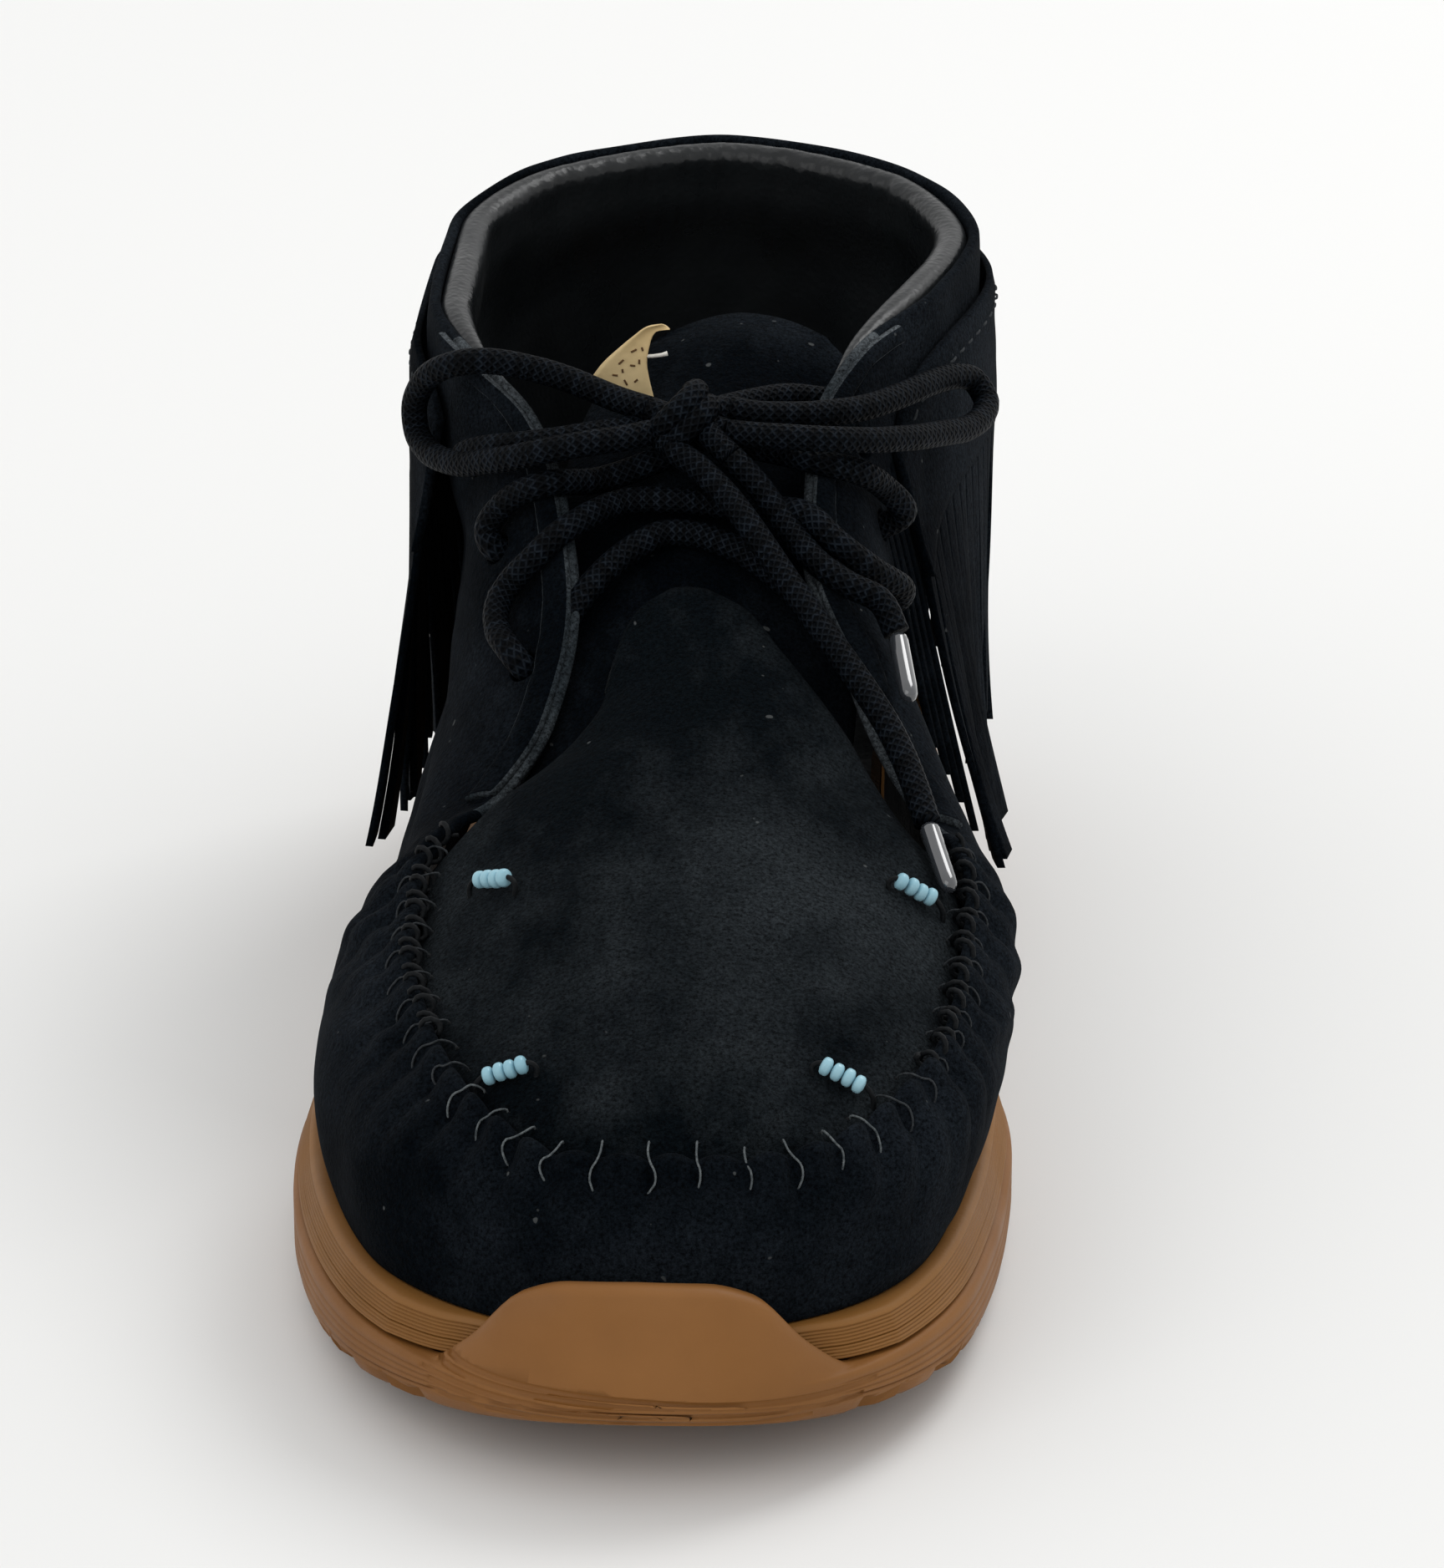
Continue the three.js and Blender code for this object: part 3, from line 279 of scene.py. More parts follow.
def skin_at(side, row, level):
    """Outer face of the upper: row from toe to heel, level from 0 at the sole to 1 at the edge."""
    side, row, level = np.broadcast_arrays(
        np.asarray(side, float), np.asarray(row, float), np.asarray(level, float))
    turn = sided(side, lambda s: track(EDGE[s], "row", "turn", row))
    foot, normal = outline_at(side, turn, LEDGE + toe_ledge(turn))
    foot[..., 2] = wall_z(foot[..., 1]) + CLEARANCE
    edge = edge_at(side, row)
    height = edge[..., 2] - foot[..., 2]
    belly, shoulder, drop = (track(FORM, "row", c, row, True) for c in ("belly", "shoulder", "drop"))
    low = foot + normal * (LATERAL_HALF * belly)[..., None]
    low[..., 1] += (edge[..., 1] - foot[..., 1]) * 0.33
    low[..., 2] += 0.42 * height
    high = edge + normal * (LATERAL_HALF * shoulder)[..., None]
    high[..., 1] += (foot[..., 1] - edge[..., 1]) * 0.25
    high[..., 2] -= drop * height
    t = level[..., None]
    point = ((1 - t) ** 3 * foot + 3 * t * (1 - t) ** 2 * low
             + 3 * t * t * (1 - t) * high + t ** 3 * edge)
    seam = 1 - smoothstep(row, SEAM_ROW - 1, SEAM_ROW + 1)
    point[..., 2] += SEAM_STEP * seam * smoothstep(level, 0.88, 1)
    return point


def signed(w):
    """Side and row of a place round the upper: 0 at the toe, up the outer side, back at 34."""
    w = np.mod(np.asarray(w, float), 2 * HEEL_ROW)
    return np.where(w < HEEL_ROW, LATERAL, MEDIAL), np.where(w < HEEL_ROW, w, 2 * HEEL_ROW - w)


def skin(w, level):
    side, row = signed(w)
    return skin_at(side, row, level)


def wall_length(w):
    """Length from the foot to the edge."""
    return np.linalg.norm(skin(w, 1.0) - skin(w, 0.0), axis=-1)


def skin_normal(w, level):
    w, level = np.broadcast_arrays(np.asarray(w, float), np.asarray(level, float))
    step = 0.02
    across = skin(w + step, level) - skin(w - step, level)
    rise = skin(w, np.minimum(1, level + step)) - skin(w, np.maximum(0, level - step))
    return unit(np.cross(rise, across))


def wall_at(row, level):
    """Thickness of the upper with its lining and pad."""
    lined = lerp(SUEDE, QUARTER_WALL, smoothstep(row, SEAM_ROW - 0.5, SEAM_ROW + 1.5))
    pad = smoothstep(row, COLLAR_ROW - 0.6, COLLAR_ROW + 1) * smoothstep(level, 0.62, 0.88)
    return lined + (COLLAR_PAD - QUARTER_WALL) * pad


# Meshes from grids
def grid_faces(columns, rows, wrap_columns=False, wrap_rows=False):
    """Four-sided faces over a grid whose points are numbered column by column."""
    faces = []
    for i in range(columns if wrap_columns else columns - 1):
        for j in range(rows if wrap_rows else rows - 1):
            here, beyond = i * rows, (i + 1) % columns * rows
            below = (j + 1) % rows
            faces.append((here + j, beyond + j, beyond + below, here + below))
    return faces


def piece(name, points, faces, material, slot=None, replaces=(), turned=False):
    """A smooth mesh from points in the shoe's millimetres; it rides on the one body."""
    if turned:
        faces = [tuple(reversed(face)) for face in faces]
    data = bpy.data.meshes.new(name)
    data.from_pydata(metres(points).tolist(), [], faces)
    data.update()
    data.polygons.foreach_set("use_smooth", np.ones(len(data.polygons), bool))
    obj = bpy.data.objects.new(name, data)
    bpy.context.scene.collection.objects.link(obj)
    data.materials.append(material)
    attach(obj, "root")
    if replaces:
        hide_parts(*replaces)
    return obj


def closed_sheet(outer, inner):
    """Points and faces of a skin with two faces and closed borders; grids are columns by rows."""
    columns, rows = outer.shape[:2]
    count = columns * rows
    points = np.concatenate([outer.reshape(-1, 3), inner.reshape(-1, 3)])
    faces = grid_faces(columns, rows)
    faces += [tuple(k + count for k in reversed(face)) for face in faces]
    border = [i * rows for i in range(columns)]
    border += [(columns - 1) * rows + j for j in range(1, rows)]
    border += [i * rows + rows - 1 for i in range(columns - 2, -1, -1)]
    border += [j for j in range(rows - 2, 0, -1)]
    for a, b in zip(border, border[1:] + border[:1]):
        faces.append((b, a, a + count, b + count))
    return points, faces


class Build:
    """Collects many small closed forms into one mesh."""

    def __init__(self):
        self.points, self.faces, self.count = [], [], 0

    def add(self, points, faces):
        self.points.append(np.asarray(points, float))
        self.faces += [tuple(k + self.count for k in face) for face in faces]
        self.count += len(points)

    def piece(self, name, material, slot=None, replaces=(), turned=False):
        return piece(name, np.concatenate(self.points), self.faces, material, slot, replaces, turned)


def curve_points(points, per_span=8):
    """A centripetal curve through the points."""
    p = np.asarray(points, float)
    p = np.concatenate([[2 * p[0] - p[1]], p, [2 * p[-1] - p[-2]]])
    out = []
    for a, b, c, d in zip(p, p[1:], p[2:], p[3:]):
        k1, k2, k3 = (max(np.linalg.norm(v) ** 0.5, 1e-6) for v in (b - a, c - b, d - c))
        t1, t2, t3 = k1, k1 + k2, k1 + k2 + k3
        for t in np.linspace(t1, t2, per_span, endpoint=False):
            a1 = (t1 - t) / t1 * a + t / t1 * b
            a2 = (t2 - t) / (t2 - t1) * b + (t - t1) / (t2 - t1) * c
            a3 = (t3 - t) / (t3 - t2) * c + (t - t2) / (t3 - t2) * d
            b1 = (t2 - t) / t2 * a1 + t / t2 * a2
            b2 = (t3 - t) / (t3 - t1) * a2 + (t - t1) / (t3 - t1) * a3
            out.append((t2 - t) / (t2 - t1) * b1 + (t - t1) / (t2 - t1) * b2)
    out.append(p[-2])
    return np.array(out)


def resample(points, step):
    along = lengths_along(points)
    count = max(2, int(round(along[-1] / step)) + 1)
    at = np.linspace(0, along[-1], count)
    return np.stack([np.interp(at, along, points[:, k]) for k in range(3)], -1)


def tube(path, radius, sides=10):
    """Points and faces of a round rod along a path; radius may change along it."""
    path = np.asarray(path, float)
    along = unit(np.gradient(path, axis=0))
    up = np.zeros_like(path)
    start = np.array([0.0, 0, 1]) if abs(along[0][2]) < 0.9 else np.array([1.0, 0, 0])
    up[0] = unit(start - along[0] * (start @ along[0]))
    for k in range(1, len(path)):
        v = up[k - 1] - along[k] * (up[k - 1] @ along[k])
        up[k] = v / max(np.linalg.norm(v), 1e-9)
    sidewise = np.cross(along, up)
    turn = np.linspace(0, 2 * np.pi, sides, endpoint=False)
    r = np.broadcast_to(np.asarray(radius, float), (len(path),))
    ring = (up[:, None] * np.cos(turn)[None, :, None] + sidewise[:, None] * np.sin(turn)[None, :, None])
    points = (path[:, None] + ring * r[:, None, None]).reshape(-1, 3)
    faces = [tuple(reversed(f)) for f in grid_faces(len(path), sides, wrap_rows=True)]
    first, last = len(points), len(points) + 1
    points = np.concatenate([points, [path[0]], [path[-1]]])
    base = (len(path) - 1) * sides
    for k in range(sides):
        faces.append((first, (k + 1) % sides, k))
        faces.append((last, base + k, base + (k + 1) % sides))
    return points, faces


def waves(points, seed, size):
    """Smooth random relief over points, about -1 to 1; size is its broadest wave in millimetres."""
    own = np.random.default_rng(seed)
    total = np.zeros(points.shape[:-1])
    weight = 0
    for octave in range(2):
        for _ in range(5):
            direction = unit(own.normal(size=3))
            pitch = size / 2 ** octave * own.uniform(0.7, 1.3)
            phase = own.uniform(0, 2 * np.pi)
            bend = unit(own.normal(size=3))
            warp = 1.3 * np.sin(points @ bend * (2 * np.pi / (1.7 * pitch)) + own.uniform(0, 6))
            total += 0.6 ** octave * np.sin(points @ direction * (2 * np.pi / pitch) + phase + warp)
        weight += 0.6 ** octave * 2.4
    return total / weight


# Materials
class Shader:
    """A node material built step by step."""

    def __init__(self, name, roughness=0.8):
        self.material = bpy.data.materials.new(name)
        self.material.use_nodes = True
        self.tree = self.material.node_tree
        self.surface = self.tree.nodes["Principled BSDF"]
        self.surface.inputs["Roughness"].default_value = roughness
        self.place = self.node("ShaderNodeTexCoord").outputs["Object"]
        self.height = None

    def node(self, kind, **values):
        made = self.tree.nodes.new(kind)
        for key, value in values.items():
            if hasattr(made, key):
                setattr(made, key, value)
            else:
                made.inputs[key.replace("_", " ")].default_value = value
        return made

    def link(self, a, b):
        self.tree.links.new(a, b)

    def feed(self, socket, value):
        if isinstance(value, (int, float)):
            socket.default_value = value
        elif isinstance(value, tuple):
            socket.default_value = (*value, 1)
        else:
            self.link(value, socket)

    def noise(self, scale, detail=3, roughness=0.6, stretch=None):
        made = self.node("ShaderNodeTexNoise", Scale=scale, Detail=detail, Roughness=roughness)
        place = self.place
        if stretch:
            mapping = self.node("ShaderNodeMapping")
            mapping.inputs["Scale"].default_value = stretch
            self.link(place, mapping.inputs["Vector"])
            place = mapping.outputs["Vector"]
        self.link(place, made.inputs["Vector"])
        return made.outputs["Fac"]

    def ramp(self, value, *stops):
        made = self.node("ShaderNodeValToRGB")
        ramp = made.color_ramp
        while len(ramp.elements) < len(stops):
            ramp.elements.new(0.5)
        for element, (at, color) in zip(ramp.elements, stops):
            element.position = at
            element.color = (*color, 1)
        self.link(value, made.inputs["Fac"])
        return made.outputs["Color"]

    def mix(self, factor, a, b, blend="MIX"):
        made = self.node("ShaderNodeMix", data_type="RGBA", blend_type=blend)
        for k, value in ((0, factor), (6, a), (7, b)):
            self.feed(made.inputs[k], value)
        return made.outputs[2]

    def math(self, operation, a, b=0.0):
        made = self.node("ShaderNodeMath", operation=operation)
        for socket, value in zip(made.inputs, (a, b)):
            self.feed(socket, value)
        return made.outputs[0]

    def spread(self, value, low, high):
        made = self.node("ShaderNodeMapRange", From_Min=0.3, From_Max=0.7, To_Min=low, To_Max=high)
        self.link(value, made.inputs["Value"])
        return made.outputs["Result"]

    def bump(self, value, distance, strength=1.0):
        made = self.node("ShaderNodeBump", Strength=strength, Distance=distance)
        self.link(value, made.inputs["Height"])
        if self.height is not None:
            self.link(self.height, made.inputs["Normal"])
        self.height = made.outputs["Normal"]
        self.link(self.height, self.surface.inputs["Normal"])

    def color(self, value):
        self.feed(self.surface.inputs["Base Color"], value)

    def set(self, **values):
        for key, value in values.items():
            self.feed(self.surface.inputs[key.replace("_", " ")], value)


def suede(name, dark, light, nap=1.0):
    """Napped suede: brushed patches, fine fibre grain, a few pale specks of lint."""
    s = Shader(name, 0.95)
    broad = s.noise(17, 3, 0.55)
    brushed = s.noise(60, 5, 0.7, (1.0, 0.55, 1.0))
    tone = s.math("ADD", s.math("MULTIPLY", broad, 0.6), s.math("MULTIPLY", brushed, 0.4))
    patch = s.ramp(tone, (0.42, dark), (0.6, light))
    grain = s.ramp(s.noise(1700, 3, 0.8), (0.34, (0.3, 0.3, 0.3)), (0.68, (2.1, 2.1, 2.1)))
    mixed = s.mix(1.0, patch, grain, "MULTIPLY")
    lint = s.ramp(s.noise(430, 1, 0.4), (0.78, (0, 0, 0)), (0.81, (1, 1, 1)))
    s.color(s.mix(s.math("MULTIPLY", lint, 0.3), mixed, (0.16, 0.17, 0.17)))
    s.set(Specular_IOR_Level=0.02, Sheen_Weight=0.009, Sheen_Roughness=0.5, Sheen_Tint=(0.7, 0.74, 0.8))
    s.bump(s.noise(950, 3, 0.7), 0.0006, 0.8 * nap)
    s.bump(s.noise(230, 3, 0.6), 0.0006, 0.4 * nap)
    return s.material


def leather(name, dark, light, roughness=0.42, grain=1.0):
    s = Shader(name, roughness)
    s.color(s.ramp(s.noise(34, 4, 0.6), (0.32, dark), (0.7, light)))
    s.link(s.spread(s.noise(70, 3), roughness - 0.08, roughness + 0.12), s.surface.inputs["Roughness"])
    s.set(Specular_IOR_Level=0.3)
    cells = s.node("ShaderNodeTexVoronoi", Scale=900.0)
    s.link(s.place, cells.inputs["Vector"])
    s.bump(cells.outputs["Distance"], 0.00025, 0.35 * grain)
    s.bump(s.noise(240, 4, 0.6), 0.0003, 0.3 * grain)
    return s.material


def rubber(name, dark, light, roughness=0.55):
    s = Shader(name, roughness)
    base = s.ramp(s.noise(22, 5, 0.6), (0.3, dark), (0.72, light))
    scuff = s.ramp(s.noise(120, 6, 0.75), (0.66, (0, 0, 0)), (0.78, (1, 1, 1)))
    s.color(s.mix(s.math("MULTIPLY", scuff, 0.16), base, (0.32, 0.16, 0.05)))
    s.link(s.spread(s.noise(48, 4), roughness - 0.07, roughness + 0.12), s.surface.inputs["Roughness"])
    s.set(Specular_IOR_Level=0.3)
    s.bump(s.noise(1300, 2, 0.6), 0.00012, 0.35)
    s.bump(s.noise(160, 4, 0.6), 0.0003, 0.16)
    return s.material


FIBRE = 1500


def fibre(name, dark, light, roughness=0.7, sheen=0.0):
    s = Shader(name, roughness)
    s.color(s.ramp(s.noise(FIBRE, 3, 0.7), (0.32, dark), (0.7, light)))
    s.set(Sheen_Weight=sheen, Sheen_Roughness=0.4, Specular_IOR_Level=0.12)
    s.bump(s.noise(FIBRE, 2, 0.6), 0.0002, 0.4)
    return s.material


SUEDE_SKIN = suede("suede", (0.0006, 0.0013, 0.0022), (0.0062, 0.0082, 0.0108))
PLUG_SKIN = suede("plug_suede", (0.0012, 0.0022, 0.0031), (0.0125, 0.0152, 0.0172))
RAW_SKIN = suede("raw_edge", (0.014, 0.018, 0.021), (0.062, 0.07, 0.076), 1.6)
LINING_SKIN = leather("lining", (0.0052, 0.0062, 0.007), (0.012, 0.0138, 0.015), 0.3)
GUM = rubber("gum_rubber", (0.168, 0.066, 0.0125), (0.228, 0.094, 0.02))
GUM_BAND = rubber("gum_midsole", (0.178, 0.075, 0.014), (0.238, 0.105, 0.022))
THREAD_PALE = fibre("pale_thread", (0.035, 0.043, 0.047), (0.14, 0.155, 0.16), 0.8)
THREAD_DIM = fibre("dim_thread", (0.012, 0.0145, 0.017), (0.045, 0.05, 0.054), 0.8)
THREAD_DARK = fibre("dark_thread", (0.002, 0.0026, 0.0032), (0.008, 0.0095, 0.011), 0.65)
TAG_SKIN = leather("tag_leather", (0.52, 0.37, 0.17), (0.7, 0.54, 0.29), 0.55, 0.7)
TAG_DOTS = fibre("tag_dots", (0.07, 0.035, 0.015), (0.14, 0.075, 0.03), sheen=0.15)
WHITE_THREAD = fibre("white_thread", (0.6, 0.58, 0.53), (0.78, 0.76, 0.7), sheen=0.15)
sleeve = Shader("aglet_sleeve", 0.14)
sleeve.set(Base_Color=(0.03, 0.033, 0.038), Specular_IOR_Level=0.85, Coat_Weight=1.0, Coat_Roughness=0.06)
AGLET_SKIN = sleeve.material
BEAD_SKIN = rubber("bead_glaze", (0.2, 0.4, 0.49), (0.34, 0.56, 0.64), 0.2)

# Places round the upper's top edge, evenly along it
fine_w = np.linspace(0, 2 * HEEL_ROW, 3401)
fine_line = skin(fine_w, 0.96)
fine_length = lengths_along(fine_line)
EDGE_LENGTH = fine_length[-1]


def arc_of(w):
    """Distance along the top edge from the toe's middle, outer side positive."""
    at = np.interp(np.mod(w, 2 * HEEL_ROW), fine_w, fine_length)
    return np.where(at > EDGE_LENGTH / 2, at - EDGE_LENGTH, at)


def w_of(arc):
    return np.interp(np.mod(arc, EDGE_LENGTH), fine_length, fine_w)


# Gathers along the moccasin seam, one between each two stitches
STITCH_PITCH = 7.0
GATHER_DEPTH = 2.1
GATHERS = 200
gather_size = draw.uniform(0.75, 1.3, GATHERS)
gather_reach = draw.uniform(6.0, 12.5, GATHERS)

# Creases listed on the outer face: place and level of both ends, width and depth
CREASE_RISE = 45.0
CREASES = [
    (3.4, 0.78, 4.6, 0.6, 3.2, 0.7), (4.3, 0.8, 5.4, 0.56, 3.4, 0.8), (5.1, 0.8, 6.2, 0.5, 3.6, 0.8),
    (5.9, 0.82, 6.9, 0.52, 3.4, 0.7), (2.4, 0.5, 3.3, 0.3, 5.0, 0.5), (6.9, 0.75, 8.4, 0.42, 4.2, 0.9),
    (7.6, 0.5, 9.8, 0.3, 5.5, 0.9), (9.3, 0.35, 11.4, 0.42, 5.0, 0.7), (11.4, 0.55, 13.3, 0.36, 5.5, 0.7),
    (29.9, 0.8, 28.8, 0.56, 3.4, 0.8), (29.0, 0.82, 28.0, 0.5, 3.4, 0.8), (28.2, 0.8, 27.2, 0.5, 3.6, 0.8),
    (31.4, 0.5, 30.6, 0.3, 5.0, 0.5), (27.0, 0.6, 25.4, 0.36, 4.6, 0.9), (25.9, 0.42, 23.8, 0.34, 5.2, 0.8),
    (23.2, 0.5, 21.4, 0.4, 5.2, 0.7),
]


def crease_relief(w, level, wall):
    """Soft trough with low ridges beside it along each crease."""
    total = np.zeros_like(w)
    arc = arc_of(w)
    for w0, l0, w1, l1, width, depth in CREASES:
        a0, a1 = float(arc_of(w0)), float(arc_of(w1))
        span = np.array([a1 - a0, (l1 - l0) * CREASE_RISE])
        offset = np.stack([arc - a0, (level - l0) * wall], -1)
        t = np.clip((offset @ span) / (span @ span), 0, 1)
        away = offset - t[..., None] * span
        bent = 1.6 * np.sin(np.pi * t) * (1 if w0 < HEEL_ROW else -1)
        d = np.hypot(away[..., 0], away[..., 1] - bent) / width
        fade = np.sin(np.pi * np.clip(0.08 + 0.84 * t, 0, 1))
        total += depth * fade * (-np.exp(-d * d * 2.2) + 0.45 * np.exp(-(d - 1.35) ** 2 * 3.0))
    return total


def seam_relief(w, level, wall):
    """Puffs between the stitches of the moccasin seam, fading down the wall."""
    arc = arc_of(w)
    row = signed(w)[1]
    index = np.floor(arc / STITCH_PITCH).astype(int) + GATHERS // 2
    puff = np.abs(np.sin(np.pi * arc / STITCH_PITCH)) ** 0.75
    near = np.exp(-((1 - level) * wall / gather_reach[index]) ** 1.6)
    on_seam = 1 - smoothstep(row, SEAM_ROW - 0.9, SEAM_ROW + 0.3)
    return GATHER_DEPTH * gather_size[index] * (puff - 0.62) * near * on_seam


def suede_face(w, level, lift=0.0):
    """The outer face with its gathers, creases and waves."""
    w, level = np.broadcast_arrays(np.asarray(w, float), np.asarray(level, float))
    base = skin(w, level)
    wall = wall_length(w)
    relief = seam_relief(w, level, wall) + crease_relief(w, level, wall)
    relief = (relief + 0.55 * waves(base, 3, 46)) * smoothstep(level, 0, 0.12)
    return base + skin_normal(w, level) * (relief + lift)[..., None]


def raw_edge(obj, faces):
    """Gives the faces the paler cut edge of the suede."""
    obj.data.materials.append(RAW_SKIN)
    for index in faces:
        obj.data.polygons[index].material_index = 1


# Upper: suede shell, from the foot up the outer face, over the edge and down the inside
SHELL_COLUMNS = 640
SHELL_THICK = 1.9
shell_w = w_of(np.linspace(0, EDGE_LENGTH, SHELL_COLUMNS, endpoint=False))
outer_levels = 1 - (1 - np.linspace(0, 1, 52)) ** 1.25
outer = suede_face(*grid(shell_w, outer_levels))
inner = suede_face(*grid(shell_w, np.linspace(0.985, 0.0, 16)), -SHELL_THICK)
inner[:, -1, 2] = outer[:, 0, 2]
rise = unit(outer[:, -1] - outer[:, -3])
edge_normal = skin_normal(shell_w, 1.0)
roll = []
for angle in np.linspace(0, np.pi, 7)[1:-1]:
    across = SHELL_THICK / 2 * (1 - math.cos(angle))
    roll.append(outer[:, -1] - edge_normal * across + rise * SHELL_THICK / 2 * math.sin(angle))
shell = np.concatenate([outer, np.stack(roll, 1), inner], 1)
shell_faces = grid_faces(*shell.shape[:2], wrap_columns=True, wrap_rows=True)
upper = piece("upper_suede", shell.reshape(-1, 3), shell_faces, SUEDE_SKIN, "dark_suede", ["upper"], True)
edge_row = signed(shell_w)[1]
raw = []
for index in range(len(shell_faces)):
    column, row = divmod(index, shell.shape[1])
    if len(outer_levels) - 2 <= row < len(outer_levels) + 5 and 7.6 < edge_row[column] < 13.2:
        raw.append(index)
raw_edge(upper, raw)

# Facing along the front edge of each quarter, with raw edges
FACING_WIDTH, FACING_THICK = 5.2, 1.3
facing, raw = Build(), []
share = np.array([0, 0.08, 0.22, 0.5, 0.78, 0.92, 1.0])
for low, high in ((8.1, 13.4), (20.6, 25.9)):
    w = np.linspace(low, high, 110)
    down = FACING_WIDTH * share * (1 + 0.06 * waves(skin(w, 1.0), 13, 9))[:, None]
    lift = FACING_THICK * (1 - 0.45 * np.abs(2 * share - 1) ** 6)
    across, level = np.broadcast_arrays(w[:, None], 1 - down / wall_length(w)[:, None])
    points, faces = closed_sheet(suede_face(across, level, lift), suede_face(across, level, -0.25))
    strips = len(share) - 1
    cells = (len(w) - 1) * strips
    raw += [len(facing.faces) + k for k in range(len(faces))
            if k < cells and k % strips in (0, strips - 1) or k >= 2 * cells]
    facing.add(points, faces)
raw_edge(facing.piece("quarter_facing", SUEDE_SKIN, "dark_suede"), raw)

# Lining from the throat round the collar: padded roll at the top, gathered at the back
LINING_FROM = 8.3
lining_low = float(arc_of(LINING_FROM))
lining_high = EDGE_LENGTH + float(arc_of(2 * HEEL_ROW - LINING_FROM))
lining_w = w_of(np.linspace(lining_low, lining_high, 420))
lining_row = signed(lining_w)[1]
padded = smoothstep(lining_row, COLLAR_ROW - 0.6, COLLAR_ROW + 1)


def lining_point(level, deep, up=0.0):
    """A line of the lining: deep is its share of the wall behind the suede."""
    gap = SHELL_THICK + 0.12
    depth = gap + deep * (wall_at(lining_row, level) - gap)
    lifted = unit(skin(lining_w, 1.0) - skin(lining_w, 0.94))
    return (skin(lining_w, level) - skin_normal(lining_w, level) * depth[:, None]
            + lifted * np.asarray(up)[..., None])


lining_lines = [lining_point(level, 0.0) for level in (0.1, 0.3, 0.5, 0.7, 0.82, 0.92)]
for angle in np.linspace(0, np.pi, 13):
    roll_rise = (1.0 + 1.7 * padded) * math.sin(angle) ** 0.8 - 0.4
    lining_lines.append(lining_point(0.985, (1 - math.cos(angle)) / 2, roll_rise))
lining_lines += [lining_point(level, 1.0) for level in np.linspace(0.95, 0.1, 40)]
lining = np.stack(lining_lines, 1)
back = smoothstep(lining_row, 14.6, 16.2)
arc = arc_of(lining_w)
arc = np.where(arc < 0, arc + EDGE_LENGTH, arc) - EDGE_LENGTH / 2
wrinkle = np.zeros_like(arc)
for start in np.arange(-46, 44, 3.9):
    at, width = start + draw.uniform(-1.2, 1.2), draw.uniform(0.8, 1.5)
    wrinkle += draw.uniform(0.35, 1.0) * np.exp(-((arc - at) / width) ** 2)
inside = np.arange(lining.shape[1])
depth_fade = np.exp(-(np.maximum(inside - 14, 0) / 11.0) ** 2) * smoothstep(inside, 8, 15)
fold = wrinkle[:, None] * back[:, None] * depth_fade[None, :] * 0.95
soft = 0.5 * waves(lining, 9, 38) * smoothstep(inside, 14, 22)[None, :]
lining = lining + skin_normal(lining_w, 0.9)[:, None] * (fold + soft)[..., None]
lining_columns, lining_rows = lining.shape[:2]
lining_faces = grid_faces(lining_columns, lining_rows, wrap_rows=True)
last = (lining_columns - 1) * lining_rows
lining_faces += [tuple(range(lining_rows)), tuple(reversed(range(last, last + lining_rows)))]
collar = piece("collar_lining", lining.reshape(-1, 3), lining_faces, LINING_SKIN, "lining_leather",
               turned=True)

# Moccasin plug
PLUG_INSET = 0.4 * SUEDE + CLEARANCE + 0.6
plug_rows = np.arange(0, 9.01, 0.25)
seam_line = {}
for side in (LATERAL, MEDIAL):
    ahead = edge_at(side, plug_rows + 0.05)
    behind = edge_at(side, np.abs(plug_rows - 0.05))
    behind[0] = edge_at(-side, 0.05)
    way = unit((ahead - behind) * [1, 1, 0])
    inwards = np.stack([-side * way[:, 1], side * way[:, 0], np.zeros(len(way))], -1)
    drawn = edge_at(side, plug_rows) + inwards * PLUG_INSET
    kept = drawn[[k == 0 or v > drawn[:k, 1].max() for k, v in enumerate(drawn[:, 1])]]
    seam_line[side] = dict(zip("xyz", kept.T))
PLUG_TIP = table("along lateral medial up", [
    [0.342, 0.65, 0.82, 0.468], [0.362, 0.52, 0.67, 0.525], [0.383, 0.357, 0.571, 0.572],
    [0.4, 0.268, 0.514, 0.602], [0.421, 0.205, 0.438, 0.631], [0.452, 0.17, 0.295, 0.682],
    [0.472, 0.125, 0.202, 0.712], [0.486, 0.036, 0.076, 0.729],
])
PLUG_RIDGE = table("along up", [
    [0.064, 0.366], [0.09, 0.42], [0.121, 0.453], [0.207, 0.525], [0.31, 0.593],
    [0.397, 0.653], [0.479, 0.729], [0.5, 0.74],
])
PLUG_DOME = 2.4
TOE_BOW = 1.6
PLUG_START = float(edge_at(LATERAL, 0.0)[1]) + PLUG_INSET
PLUG_END = PLUG_TIP["along"][-1] * SOLE_LENGTH


def plug_border(side, y):
    free = PLUG_TIP["along"][0] * SOLE_LENGTH
    half, column = (LATERAL_HALF, "lateral") if side < 0 else (MEDIAL_HALF, "medial")
    loose_x, loose_z = columns(PLUG_TIP, "along", column + " up", y / SOLE_LENGTH)
    sewn_x, sewn_z = columns(seam_line[side], "y", "x z", y)
    part = smoothstep(y, free - 12, free)
    return lerp(sewn_x, side * half * loose_x, part), lerp(sewn_z, COLLAR_HEIGHT * loose_z, part)


